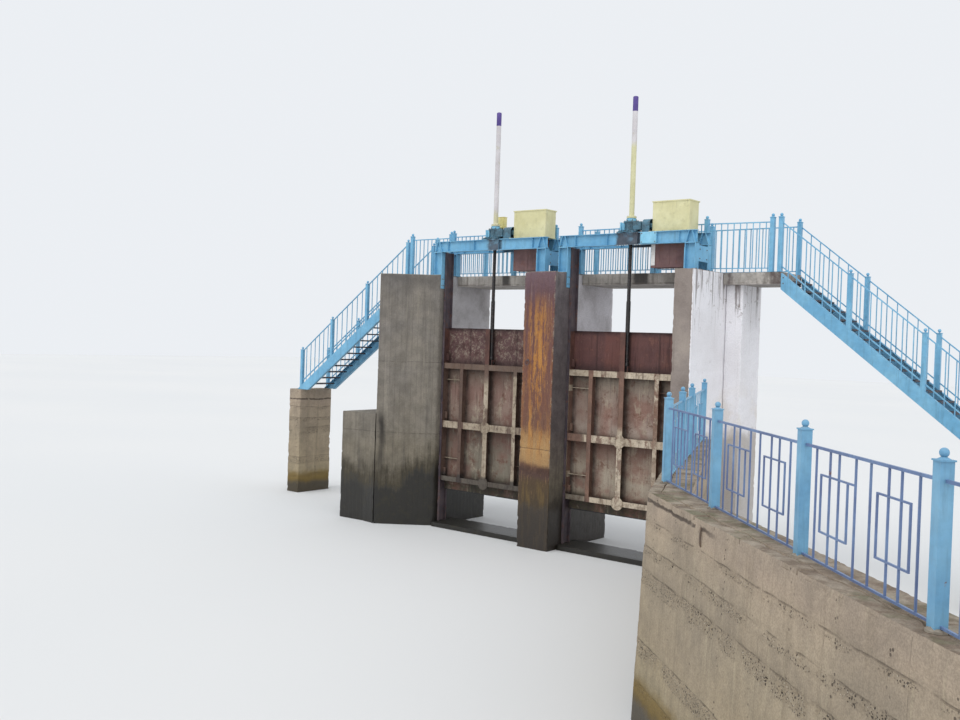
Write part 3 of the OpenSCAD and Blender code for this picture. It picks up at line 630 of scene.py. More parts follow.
def mat_slab():
    m = Mt("slab_concrete")
    n2 = m.noise(2.4, 6, 0.65)
    n3 = m.noise(44, 3, 0.7)
    c = m.ramp(m.noise(1.3, 5, 0.6), [(0.3, (142, 136, 129)), (0.55, (168, 162, 155)), (0.75, (186, 179, 168))])
    s = m.noise(1.0, 5, 0.65, vec=m.vec(9, 9, 0.7))
    c = m.mix(m.mr(s, 0.5, 0.68, 0, 0.6), c, (98, 91, 84))
    s2 = m.noise(1.0, 4, 0.6, vec=m.vec(15, 15, 1.2, (4, 4, 4)))
    c = m.mix(m.mul(m.mr(s2, 0.58, 0.68), 0.6), c, (188, 182, 170))
    # oil that dripped from the drives
    for cx, w in ((1.95, 0.20), (-1.93, 0.13)):
        d = m.math("ABSOLUTE", m.math("SUBTRACT", m.add(m.x, m.mul(m.math("SUBTRACT", m.noise(4, 4, 0.6), 0.5), 0.16)), cx + 0.08))
        o = m.mul(m.mr(d, w + 0.05, w - 0.07), m.mr(m.y, 0.75, 0.45))
        c = m.mix(m.mul(o, 0.88), c, (46, 42, 42))
    # soffit in its own grey; along the slab's lower edge a dark band of rust stain and painted shade
    und = m.mr(m.z, 6.205, 6.195)
    c = m.mix(m.mul(und, 0.7), c, m.ramp(n2, [(0.3, (150, 142, 138)), (0.7, (188, 181, 175))]))
    c = m.mix(m.mul(m.band(m.z, 6.20, 6.235, 0.015), m.mr(m.noise(7, 4, 0.6), 0.4, 0.6, 0.1, 0.7)), c, (92, 84, 78))
    c = m.shade(c, m.mr(n2, 0.25, 0.75), 0.84, 1.12)
    c = m.shade(c, m.mr(n3, 0.3, 0.7), 0.90, 1.07)
    c = m.shade(c, m.mr(m.x, 0.3, 0.5), 1.0, 0.84)
    # the landing's edge: pale worn face, darker and stained at its two ends
    ed = m.mul(m.mr(m.x, 3.95, 4.05), m.mr(m.y, 0.60, 0.585))
    sp = m.math("MAXIMUM", m.mr(m.x, 4.22, 4.02), m.mr(m.x, 4.93, 4.99))
    c = m.mix(m.mul(m.mul(ed, sp), m.mr(m.noise(9, 5, 0.7), 0.35, 0.6, 0.25, 0.9)), c, (88, 76, 74))
    c = m.mix(m.mul(m.mul(ed, m.math("SUBTRACT", 1.0, sp)), m.mr(m.noise(5, 5, 0.7), 0.42, 0.6, 0.1, 0.7)), c, (196, 188, 180))
    h = m.add(m.mul(n3, 0.5), m.mul(n2, 1.0))
    return m.done(c, 0.9, m.bump(h, 0.005, 0.8))


def mat_wall():
    m = Mt("wall_concrete")
    su = m.attr("su")
    n2 = m.noise(1.9, 6, 0.66)
    n4 = m.noise(9.0, 5, 0.65)
    n3 = m.noise(52, 4, 0.75)
    wob = m.mul(m.math("SUBTRACT", m.noise(1.1, 3, 0.6), 0.5), 0.10)
    z = m.add(m.z, wob)
    zr = m.math("DIVIDE", z, 3.0)
    c = m.ramp(zr, [(0.0, (88, 78, 50)), (0.13, (104, 94, 66)), (0.20, (150, 138, 112)), (0.36, (164, 150, 126)), (0.40, (156, 142, 120)),
                    (0.62, (162, 149, 129)), (0.66, (152, 139, 121)), (0.75, (164, 150, 131)), (0.85, (172, 156, 137)), (0.90, (171, 154, 137)), (1.0, (166, 151, 136))])
    c = m.mix(m.mr(m.noise(0.5, 4, 0.6), 0.35, 0.7, 0.0, 0.5), c, (150, 138, 122))
    c = m.shade(c, m.mr(n2, 0.25, 0.75), 0.84, 1.13)
    c = m.shade(c, m.mr(n4, 0.25, 0.75), 0.93, 1.06)
    c = m.mix(m.mr(n2, 0.3, 0.7, 0.05, 0.16), c, (150, 126, 84))
    # upright form-board stains
    st = m.noise(1.0, 5, 0.62, vec=m.vec(7, 7, 0.25))
    c = m.mix(m.mul(m.mr(st, 0.50, 0.72), 0.42), c, (122, 110, 92))
    st2 = m.noise(1.0, 4, 0.6, vec=m.vec(12, 12, 0.35, (3, 3, 3)))
    c = m.mix(m.mul(m.mr(st2, 0.57, 0.72), 0.35), c, (182, 169, 142))
    tone, groove = boards(m, su, 1.22, groove=0.008)
    c = m.mix(m.mul(groove, m.mul(m.mr(n4, 0.4, 0.6), 0.5)), c, (96, 86, 72))
    # pour lines, and gravel left bare along them
    pits_all = None
    gap = None
    for zk, wdt, dens in ((2.60, 0.09, 0.6), (2.27, 0.11, 0.75), (1.97, 0.20, 1.0), (1.08, 0.20, 1.0), (0.55, 0.10, 0.7)):
        d = m.math("SUBTRACT", z, zk)
        ln = m.mr(m.math("ABSOLUTE", d), 0.014, 0.003)
        lo = m.mul(m.band(d, -wdt, 0.0, 0.035), m.mr(m.noise(1.6, 4, 0.6, vec=m.vec(1, 1, 1, (zk * 3, 0, 0))), 0.36, 0.56, 0.10, dens))
        gap = ln if gap is None else m.math("MAXIMUM", gap, m.mul(ln, 0.9))
        pits_all = lo if pits_all is None else m.math("MAXIMUM", pits_all, lo)
    gap = m.mul(gap, m.mr(m.noise(2.6, 4, 0.65), 0.40, 0.60, 0.05, 1.0))
    grav = m.vor(38)
    grav2 = m.vor(21)
    hole = m.math("MAXIMUM", m.mr(grav, 0.30, 0.16), m.mr(grav2, 0.26, 0.14))
    hole = m.mul(hole, m.mr(pits_all, 0.25, 0.65))
    c = m.mix(m.mul(pits_all, 0.40), c, (134, 120, 100))
    c = m.mix(m.mul(hole, 0.92), c, (58, 49, 42))
    stone = m.mul(m.mr(m.vor(33, vec=m.vec(1, 1, 1, (9, 9, 9))), 0.22, 0.12), m.mr(pits_all, 0.3, 0.7))
    c = m.mix(m.mul(stone, 0.8), c, (206, 197, 180))
    # upright rows of small pits where the shutter's ties were
    fr = m.math("ABSOLUTE", m.math("SUBTRACT", m.math("FRACT", m.math("DIVIDE", m.add(su, m.mul(m.math("SUBTRACT", m.noise(0.8, 2, 0.5), 0.5), 0.12)), 0.78)), 0.5))
    rowp = m.mul(m.mr(fr, 0.060, 0.028), m.mr(m.vor(17, vec=m.vec(1, 1, 1, (4, 1, 6))), 0.26, 0.16))
    rowp = m.mul(rowp, m.mr(m.noise(1.3, 3, 0.6), 0.36, 0.52))
    c = m.mix(m.mul(rowp, 0.8), c, (72, 62, 52))
    # the topping's broken joint near the corner
    s1 = m.add(m.mul(m.math("SUBTRACT", m.x, 7.21), 0.7255), m.mul(m.add(m.y, 8.30), -0.6882))
    jn = m.mul(m.band(m.add(z, m.mul(m.math("SUBTRACT", n4, 0.5), 0.05)), 2.815, 2.862, 0.010), m.mr(s1, 2.7, 1.9))
    jn = m.mul(jn, m.mr(m.noise(2.9, 5, 0.7), 0.38, 0.50))
    c = m.mix(m.mul(jn, 0.8), c, (62, 50, 44))
    c = m.mix(m.mul(gap, 0.55), c, (96, 84, 70))
    # air holes scattered all over
    air = m.mul(m.mr(m.vor(26, vec=m.vec(1, 1, 1, (2, 7, 5))), 0.085, 0.05), m.mr(m.noise(2.5, 3, 0.6), 0.45, 0.6))
    c = m.mix(m.mul(air, 0.7), c, (86, 76, 64))
    # foot stained yellow-brown, then wet
    zz = m.add(m.z, m.mul(m.math("SUBTRACT", m.noise(2.1, 5, 0.65), 0.5), 0.35))
    c = m.mix(m.mr(zz, 0.72, 0.5, 0, 0.8), c, (118, 96, 44))
    wet = m.mr(zz, 0.42, 0.22)
    c = m.mix(m.mul(wet, 0.85), c, (50, 44, 34))
    # top surface: worn, with earth
    nz = m.normal_z()[2]
    topm = m.mul(m.mr(nz, 0.55, 0.8), m.mr(m.z, 2.7, 2.8))
    tc = m.ramp(m.noise(3.2, 6, 0.7), [(0.28, (84, 72, 58)), (0.42, (116, 100, 84)), (0.55, (148, 136, 120)), (0.75, (172, 160, 144))])
    tc = m.mix(m.mul(m.mr(m.noise(1.2, 5, 0.7), 0.50, 0.62), 0.55), tc, (78, 84, 46))
    c = m.mix(m.mul(topm, 0.9), c, tc)
    c = m.shade(c, m.mr(n3, 0.3, 0.7), 0.84, 1.12)
    h = m.add(m.mul(n3, 0.8), m.mul(n4, 1.2))
    h = m.math("SUBTRACT", h, m.mul(hole, 2.6))
    h = m.math("SUBTRACT", h, m.mul(gap, 1.6))
    h = m.math("SUBTRACT", h, m.mul(air, 1.2))
    h = m.math("SUBTRACT", h, m.mul(rowp, 1.5))
    h = m.add(h, m.mul(stone, 0.8))
    nb = m.bump(h, 0.008, 0.85)
    return m.done(c, m.mr(wet, 0.0, 1.0, 0.92, 0.5), nb)


def paint(name, base, light, dark, rough=0.5, rust=0.25, grime_and_underside_shade=0.3, scale=1.0, spec=None, oil=None, runs=0.3):
    """Brushed oil paint on steel: thick and thin, dirty, rusting in spots, with a painted highlight on faces turned up
    and painted shade on faces turned down.
    """
    m = Mt(name)
    n1 = m.noise(1.7 * scale, 5, 0.6)
    n2 = m.noise(9 * scale, 5, 0.65)
    n3 = m.noise(70, 3, 0.6)
    c = m.ramp(n1, [(0.28, dark), (0.5, base), (0.74, light)])
    c = m.shade(c, m.mr(n2, 0.25, 0.75), 0.92, 1.06)
    st = m.noise(1.0, 4, 0.6, vec=m.vec(18, 18, 1.6))
    c = m.mix(m.mul(m.mr(st, 0.52, 0.68), runs), c, tuple(int(v * 0.72) for v in base))
    nz = m.normal_z()[2]
    # painted highlight: faces turned up are mixed towards the light colour
    c = m.mix(m.mul(m.mr(nz, 0.4, 0.9), 0.30), c, light)
    c = m.mix(m.mul(m.mul(m.mr(nz, 0.3, 0.9), m.mr(n2, 0.45, 0.62)), grime_and_underside_shade), c, (120, 112, 100))
    # painted shade: faces turned down are darkened
    c = m.mix(m.mul(m.mr(nz, -0.3, -0.9), grime_and_underside_shade * 1.2), c, tuple(int(v * 0.55) for v in base))
    # rust spots and the stain round them
    r1 = m.noise(6.5 * scale, 6, 0.72)
    halo = m.mul(m.mr(r1, 0.655, 0.70), rust)
    c = m.mix(halo, c, (150, 104, 74))
    spot = m.mul(m.mr(r1, 0.685, 0.70), min(1.0, rust * 2.2))
    c = m.mix(spot, c, m.ramp(n3, [(0.35, (66, 36, 24)), (0.65, (120, 66, 38))]))
    rr = m.mr(n2, 0.2, 0.8, rough - 0.08, rough + 0.12)
    rr = m.math("MAXIMUM", rr, m.mul(spot, 0.9))
    if oil:
        for mask in oil(m):
            c = m.mix(m.mul(mask, 0.90), c, m.ramp(n2, [(0.3, (46, 42, 46)), (0.7, (84, 78, 84))]))
            rr = m.mix(mask, rr, (60, 60, 60))
            bw = m.t.nodes.new("ShaderNodeRGBToBW")
            m.t.links.new(rr, bw.inputs[0])
            rr = bw.outputs[0]
    h = m.add(m.mul(n3, 0.25), m.mul(n2, 0.8))
    h = m.math("SUBTRACT", h, m.mul(spot, 0.5))
    nb = m.bump(h, 0.0016, 0.7)
    return m.done(c, rr, nb, spec=spec)


def beam_oil(m):
    """Grease round the stems on the front and rear beams."""
    w = m.mul(m.math("SUBTRACT", m.noise(5, 4, 0.6), 0.5), 0.22)
    x = m.add(m.x, w)
    zz = m.mr(m.z, 6.98, 7.02)
    a = m.mul(m.band(x, 1.72, 2.33, 0.05), zz)
    b = m.mul(m.band(x, -1.98, -1.58, 0.05), zz)
    a2 = m.mul(a, m.mr(m.noise(3.2, 4, 0.6), 0.30, 0.46, 0.72, 1.0))
    b2 = m.mul(b, m.mr(m.noise(3.2, 4, 0.6), 0.38, 0.55, 0.35, 0.95))
    return [m.math("MAXIMUM", a2, b2)]


def mat_gate(name, kind, cx, side):
    """Rusting paint on the gate: kind is skin, frame or red."""
    m = Mt(name)
    xr = m.math("SUBTRACT", m.x, cx)
    n1 = m.noise(1.1, 5, 0.62, vec=m.vec(1, 1, 1, (cx, 0, 0)))
    n2 = m.noise(4.2, 6, 0.68)
    n4 = m.noise(14, 5, 0.7)
    n3 = m.noise(60, 3, 0.7)
    run = m.noise(1.0, 5, 0.66, vec=m.vec(13, 13, 1.0))
    z = m.z
    if kind == "skin":
        # light film low in each cell, brown above it, and painted shade in the dark bands just under each girder, all
        # down the lip under the bottom one
        zr = m.math("DIVIDE", m.math("SUBTRACT", z, 0.93), 3.2)
        if side == "left":
            c = m.ramp(zr, [(0.0, (48, 44, 40)), (0.09, (58, 52, 46)), (0.125, (94, 86, 72)), (0.17, (122, 114, 100)), (0.30, (122, 114, 100)), (0.50, (96, 80, 70)), (0.53, (58, 46, 42)),
                            (0.56, (132, 114, 102)), (0.68, (138, 116, 104)), (0.80, (134, 106, 96)), (0.94, (120, 102, 90)), (0.985, (70, 56, 52)), (1.0, (54, 44, 42))])
            red = (122, 86, 76)
        else:
            c = m.ramp(zr, [(0.0, (56, 50, 44)), (0.08, (66, 60, 52)), (0.115, (128, 118, 100)), (0.15, (156, 144, 128)), (0.30, (158, 146, 130)), (0.46, (126, 108, 94)), (0.525, (66, 52, 46)),
                            (0.545, (152, 136, 122)), (0.60, (164, 148, 136)), (0.70, (146, 124, 112)), (0.82, (142, 124, 112)), (0.94, (138, 126, 112)), (0.985, (78, 66, 58)), (1.0, (60, 50, 46))])
            red = (126, 88, 76)
        c = m.mix(m.mr(n1, 0.46, 0.62, 0, 0.72), c, red)
        c = m.mix(m.mul(m.mr(n2, 0.52, 0.66), 0.75), c, (98, 60, 46))
        c = m.mix(m.mul(m.mr(m.noise(3.1, 6, 0.7, vec=m.vec(1, 1, 0.7, (5, 5, 5))), 0.53, 0.66), 0.6), c, (168, 158, 138))
        c = m.mix(m.mul(m.mr(run, 0.52, 0.68), 0.5), c, (74, 54, 46))
        run2 = m.noise(1.0, 4, 0.6, vec=m.vec(20, 20, 1.4, (1, 2, 3)))
        c = m.mix(m.mul(m.mr(run2, 0.58, 0.70), 0.45), c, (176, 166, 146))
        # dirt and painted shade in the corners beside the ribs and under the girders
        near = None
        for dx in (-1.47, -0.855, -0.06, 0.855, 1.47):
            d = m.math("ABSOLUTE", m.math("SUBTRACT", xr, dx))
            k = m.mr(d, 0.16, 0.02)
            near = k if near is None else m.math("MAXIMUM", near, k)
        for zk in (1.235, 2.63, 4.13):
            d = m.math("ABSOLUTE", m.math("SUBTRACT", z, zk))
            near = m.math("MAXIMUM", near, m.mr(d, 0.14, 0.02))
        soft_dirt_and_shade = None
        for dx in (-1.47, -0.855, -0.06, 0.855, 1.47):
            k = m.mr(m.math("ABSOLUTE", m.math("SUBTRACT", xr, dx)), 0.42, 0.04)
            soft_dirt_and_shade = k if soft_dirt_and_shade is None else m.math("MAXIMUM", soft_dirt_and_shade, k)
        up = m.math("MAXIMUM", m.band(z, 2.10, 2.62, 0.35), m.band(z, 3.70, 4.12, 0.30))
        soft_dirt_and_shade = m.math("MAXIMUM", m.mul(soft_dirt_and_shade, 0.8), up)
        c = m.mix(m.mul(soft_dirt_and_shade, m.mr(n1, 0.3, 0.65, 0.10, 0.55)), c, (92, 74, 66))
        c = m.mix(m.mul(near, m.mr(n2, 0.3, 0.6, 0.30, 0.8)), c, (54, 44, 40))
        # the outer cells by the piers stay dark
        out = m.mr(m.math("ABSOLUTE", xr), 1.30, 1.45)
        c = m.mix(m.mul(out, 0.45), c, (62, 50, 46))
        moss = m.mul(m.mr(m.add(z, m.mul(m.math("SUBTRACT", n2, 0.5), 0.4)), 1.35, 1.05), m.mr(n4, 0.42, 0.6))
        c = m.mix(m.mul(moss, 0.6), c, (66, 66, 44))
        rgh, bd = 0.82, 0.005
    elif kind == "red":
        if side == "left":
            c = m.ramp(n1, [(0.3, (80, 56, 56)), (0.55, (96, 68, 65)), (0.75, (104, 80, 75))])
            fl = m.mr(m.add(m.mul(m.noise(5.2, 7, 0.8, vec=m.vec(1, 1, 0.75, (3, 0, 1))), 0.5), m.mul(m.noise(15, 5, 0.75), 0.5)), 0.505, 0.545)
            fl = m.mul(fl, m.mr(z, 4.2, 4.45, 0.3, 1.0))
            c = m.mix(m.mul(fl, 0.80), c, m.ramp(n4, [(0.3, (108, 92, 80)), (0.6, (146, 132, 118)), (0.8, (170, 158, 144))]))
            c = m.mix(m.mul(m.mr(n2, 0.5, 0.60), 0.75), c, (68, 44, 42))
        else:
            c = m.ramp(n1, [(0.3, (78, 50, 50)), (0.55, (98, 64, 60)), (0.75, (116, 78, 68))])
            c = m.mix(m.mul(m.mr(n2, 0.54, 0.66), 0.5), c, (128, 90, 76))
            c = m.mix(m.mul(m.mr(run, 0.50, 0.66), 0.65), c, (62, 36, 36))
            c = m.mix(m.mul(m.mr(m.noise(1.0, 5, 0.7, vec=m.vec(24, 24, 3.0)), 0.63, 0.70), 0.5), c, (178, 150, 128))
            # brighter red by the middle rib
            c = m.mix(m.mul(m.band(xr, -0.62, -0.02, 0.05), 0.28), c, (122, 72, 60))
        # joints of the plates and the shade under the top angle
        sm = None
        for dx in (-0.735, 0.0, 0.735) if side == "left" else (-0.83, 0.04, 0.79):
            d = m.math("ABSOLUTE", m.math("SUBTRACT", xr, dx))
            k = m.mr(d, 0.035, 0.006)
            sm = k if sm is None else m.math("MAXIMUM", sm, k)
        c = m.mix(m.mul(sm, 0.55), c, (54, 34, 34))
        c = m.mix(m.mul(m.mr(z, 4.95, 5.09), m.mr(n2, 0.3, 0.6, 0.35, 0.8)), c, (50, 32, 34))
        c = m.mix(m.mul(m.mr(z, 4.42, 4.16), m.mr(n2, 0.35, 0.6, 0.4, 0.75)), c, (56, 42, 40))
        rgh, bd = 0.8, 0.004
    else:
        beige = m.ramp(n1, [(0.3, (152, 138, 118)), (0.55, (174, 160, 140)), (0.75, (190, 178, 158))])
        if side == "right":
            beige = m.ramp(n1, [(0.3, (168, 154, 134)), (0.55, (190, 176, 156)), (0.75, (204, 192, 172))])
            rust = m.ramp(n2, [(0.3, (90, 62, 53)), (0.55, (114, 82, 69)), (0.75, (134, 102, 86))])
        else:
            rust = m.ramp(n2, [(0.3, (68, 48, 44)), (0.55, (88, 65, 57)), (0.75, (106, 82, 71))])
        near = m.mr(m.y, -0.155, -0.175)          # flanges facing downstream
        # which bars lost their paint
        if side == "left":
            br = m.band(xr, -0.93, -0.74, 0.015)
            gz = m.band(z, 3.95, 4.24, 0.02)
            br = m.math("MAXIMUM", br, m.mul(gz, 0.9))
            br = m.math("MAXIMUM", br, m.mul(m.band(xr, -0.12, 0.04, 0.02), m.mr(z, 3.5, 4.0)))
            br = m.math("MAXIMUM", br, m.mr(xr, -1.38, -1.44))
        else:
            br = m.math("MAXIMUM", m.band(xr, -0.92, -0.78, 0.015), m.mul(m.band(xr, -0.16, 0.04, 0.012), m.mr(z, 2.78, 3.0)))
            br = m.math("MAXIMUM", br, m.mul(m.band(z, 2.52, 2.74, 0.02), m.mr(xr, -0.95, -1.10)))
            br = m.math("MAXIMUM", br, m.mul(m.band(xr, 0.78, 0.93, 0.015), m.mul(m.mr(n2, 0.42, 0.58), m.mr(z, 1.6, 3.4, 0.3, 1.0))))
        br = m.math("MAXIMUM", m.mul(br, 0.92), m.mul(m.mr(m.noise(3.3, 6, 0.72, vec=m.vec(1, 1, 0.6, (8, 1, 1))), 0.54, 0.62), 0.75))
        c = m.mix(br, beige, rust)
        web = m.mix(0.5, m.mix(m.mr(n2, 0.4, 0.6), (124, 102, 88), (88, 68, 62)), rust)
        stf = m.mul(m.mr(xr, -0.93, -0.96), m.math("MAXIMUM", m.band(z, 3.70, 3.84, 0.01), m.math("MAXIMUM", m.band(z, 1.68, 1.82, 0.01), m.band(z, 2.55, 2.71, 0.01))))
        stf = m.mul(stf, m.mr(n2, 0.36, 0.5, 0.35, 1.0))
        c = m.mix(m.mul(m.math("SUBTRACT", 1.0, near), m.math("SUBTRACT", 1.0, stf)), c, web)
        c = m.mix(m.mul(m.mr(run, 0.52, 0.66), 0.6), c, (78, 58, 50))
        c = m.mix(m.mul(m.mr(m.noise(7.5, 6, 0.75), 0.50, 0.60), 0.5), c, (104, 84, 70))
        nz = m.normal_z()[2]
        c = m.mix(m.mul(m.mr(nz, 0.5, 0.9), 0.7), c, (96, 84, 66))
        # painted shade: faces turned down are darkened
        c = m.mix(m.mul(m.mr(nz, -0.5, -0.9), 0.8), c, (44, 34, 32))
        c = m.mix(m.mr(z, 4.18, 4.24, 0, 0.75), c, m.mix(m.mr(n2, 0.4, 0.6), (96, 58, 50), (70, 42, 40)))
        # darker along the bottom rail
        if side == "left":
            zw = m.add(z, m.mul(m.math("SUBTRACT", n2, 0.5), 0.25))
            c = m.mix(m.mr(zw, 1.46, 1.33, 0, 0.82), c, (54, 50, 48))
        else:
            c = m.mix(m.mul(m.mr(z, 1.40, 1.33), m.mr(xr, -0.80, -1.0, 0, 0.72)), c, (62, 56, 48))
        rgh, bd = 0.8, 0.003
    scab = m.mr(n4, 0.60, 0.68)
    c = m.mix(m.mul(scab, 0.45), c, (78, 46, 34))
    k = {"skin": 1.13, "frame": 1.11}.get(kind, 1.0) if side == "right" else 1.0
    c = m.shade(c, m.mr(n3, 0.3, 0.7), 0.86 * k, 1.10 * k)
    h = m.add(m.mul(n3, 0.35), m.add(m.mul(n4, 0.9), m.mul(n2, 0.9)))
    return m.done(c, m.mr(n2, 0.3, 0.7, rgh - 0.12, rgh + 0.08), m.bump(h, bd, 0.8))


def mat_simple(name, stops, rough, rust=0.0, runs=0.0, dirt=(60, 52, 46), bump=0.0015, metal=0.0, scale=3.0, oil=0.0):
    m = Mt(name)
    n1 = m.noise(scale, 5, 0.62)
    n2 = m.noise(scale * 5, 5, 0.65)
    n3 = m.noise(80, 3, 0.65)
    c = m.ramp(n1, stops)
    c = m.shade(c, m.mr(n2, 0.25, 0.75), 0.90, 1.08)
    if runs:
        st = m.noise(1.0, 5, 0.65, vec=m.vec(14, 14, 1.2))
        c = m.mix(m.mul(m.mr(st, 0.50, 0.68), runs), c, dirt)
    if rust:
        r1 = m.noise(scale * 2.4, 6, 0.74)
        c = m.mix(m.mul(m.mr(r1, 0.54, 0.64), rust), c, m.ramp(n3, [(0.3, (84, 48, 32)), (0.7, (138, 84, 52))]))
    rr = m.mr(n2, 0.2, 0.8, max(0.05, rough - 0.1), min(1.0, rough + 0.1))
    if oil:
        o = m.mul(m.mr(n1, 0.4, 0.6), oil)
        c = m.mix(o, c, (30, 29, 31))
        rr = m.math("SUBTRACT", rr, m.mul(o, 0.3), clamp=True)
    h = m.add(m.mul(n3, 0.4), m.mul(n2, 1.0))
    return m.done(c, rr, m.bump(h, bump, 0.8), metal=metal)


def mat_cream(name, base, light, dark, pale_from=None):
    """Cream oil paint; above pale_from (metres up) it was last painted off-white."""
    m = Mt(name)
    n1 = m.noise(2.1, 5, 0.6)
    n2 = m.noise(11, 5, 0.65)
    n3 = m.noise(75, 3, 0.6)
    c = m.ramp(n1, [(0.3, dark), (0.5, base), (0.72, light)])
    if pale_from:
        zt = m.add(m.z, m.mul(m.math("SUBTRACT", n2, 0.5), 0.25))
        c = m.mix(m.mr(zt, pale_from - 0.12, pale_from + 0.12), c, m.ramp(n1, [(0.3, (192, 186, 188)), (0.55, (205, 200, 202)), (0.75, (215, 211, 213))]))
    # faint brush-outs and hand marks
    c = m.mix(m.mul(m.mr(m.noise(4.3, 6, 0.7, vec=m.vec(1, 1, 1.6, (1, 5, 2))), 0.56, 0.64), 0.30), c, (176, 170, 128))
    c = m.shade(c, m.mr(n2, 0.25, 0.75), 0.96, 1.03)
    st = m.noise(1.0, 4, 0.6, vec=m.vec(20, 20, 1.8))
    c = m.mix(m.mul(m.mr(st, 0.56, 0.70), m.mul(m.mr(m.z, 7.3, 8.0), 0.35)), c, (158, 150, 120))
    r1 = m.noise(7.5, 6, 0.75)
    c = m.mix(m.mul(m.mr(r1, 0.675, 0.70), 0.6), c, (128, 84, 54))
    h = m.add(m.mul(n3, 0.25), m.mul(n2, 0.8))
    return m.done(c, m.mr(n2, 0.2, 0.8, 0.40, 0.6), m.bump(h, 0.0014, 0.7))


MAT = {
    "pier_concrete": mat_pier(),
    "rust_streaked_concrete": mat_rust(),
    "whitewashed_concrete": mat_white(),
    "slab_concrete": mat_slab(),
    "wall_concrete": mat_wall(),
    "dark_steel": mat_simple("dark_steel", [(0.3, (60, 51, 58)), (0.5, (78, 68, 74)), (0.72, (98, 84, 84))], 0.72, rust=0.38, runs=0.4, dirt=(48, 42, 48), bump=0.003),
    "greased_stem": mat_simple("greased_stem", [(0.3, (30, 27, 28)), (0.5, (42, 38, 38)), (0.75, (60, 50, 46))], 0.42, rust=0.2, bump=0.0015, oil=0.6),
    "blue_paint": paint("blue_paint", (114, 174, 208), (134, 191, 220), (98, 161, 199), 0.45, rust=0.35, grime_and_underside_shade=0.3, oil=beam_oil),
    "gearbox_paint": mat_simple("gearbox_paint", [(0.3, (66, 104, 124)), (0.5, (88, 134, 154)), (0.75, (112, 162, 184))], 0.45, rust=0.2, runs=0.45, dirt=(44, 48, 58), bump=0.003, scale=5.0, oil=0.6),
    "cream_paint": mat_cream("cream_paint", (216, 210, 164), (228, 223, 182), (204, 197, 148)),
    "primer_brown": mat_simple("primer_brown", [(0.3, (90, 66, 66)), (0.5, (110, 82, 82)), (0.75, (126, 98, 94))], 0.75, rust=0.4, runs=0.45, dirt=(60, 44, 42), bump=0.002),
    "white_tube": mat_simple("white_tube", [(0.3, (206, 203, 200)), (0.5, (222, 219, 216)), (0.75, (232, 230, 226))], 0.5, rust=0.12, runs=0.3, dirt=(176, 166, 150)),
    "tread_steel": mat_simple("tread_steel", [(0.3, (52, 48, 54)), (0.5, (66, 62, 70)), (0.75, (86, 80, 84))], 0.6, rust=0.35, bump=0.002),
}
for s_, c_ in (("left", -1.94), ("right", 1.94)):
    for k_, n_ in (("skin", "gate_skin"), ("red", "gate_red"), ("frame", "gate_frame")):
        MAT[n_ + "_" + s_] = mat_gate(n_ + "_" + s_, k_, c_, s_)
BOLT = mat_simple("bolt_steel", [(0.3, (84, 74, 66)), (0.5, (106, 92, 80)), (0.75, (128, 110, 92))], 0.55, rust=0.5, scale=9.0)
PLATE = paint("pale_blue_plate", (130, 194, 222), (148, 206, 232), (116, 182, 214), 0.42, rust=0.2, grime_and_underside_shade=0.2)
CAP = mat_simple("tube_cap_paint", [(0.3, (66, 50, 112)), (0.5, (80, 62, 134)), (0.75, (98, 80, 152))], 0.55, rust=0.06, scale=6.0)
MORTAR = mat_simple("mortar", [(0.3, (112, 104, 94)), (0.5, (138, 129, 116)), (0.75, (160, 150, 136))], 0.92, bump=0.006, scale=8.0)
TUBE = {"left": mat_cream("left_tube_paint", (206, 201, 169), (217, 212, 185), (194, 188, 151), 7.98),
        "right": mat_cream("right_tube_paint", (208, 204, 161), (218, 214, 176), (196, 191, 143), 9.30)}
YELLOW = mat_cream("yellow_box_paint", (220, 208, 132), (232, 220, 150), (200, 188, 116))
RUBBER = mat_simple("seal_rubber", [(0.3, (28, 28, 29)), (0.5, (38, 37, 38)), (0.75, (52, 50, 48))], 0.6, scale=7.0)

BARS = paint("fence_bar_paint", (96, 116, 156), (116, 144, 182), (82, 94, 134), 0.45, rust=0.4, grime_and_underside_shade=0.35)
FENCEB = paint("fence_post_paint", (110, 162, 194), (128, 177, 205), (94, 147, 183), 0.45, rust=0.4, grime_and_underside_shade=0.35)

for n, o in NODES.items():
    s = SLOT[n]
    if s in ("gate_skin", "gate_red", "gate_frame"):
        s = s + "_" + n.split("_")[0]
    o.data.materials.clear()
    o.data.materials.append(BARS if n == "front_fence_panels" else FENCEB if n in ("return_fence_panels", "fence_posts") else MAT[s])
    for p in o.data.polygons:
        p.material_index = 0

# ------------------------------------------------------- cast concrete


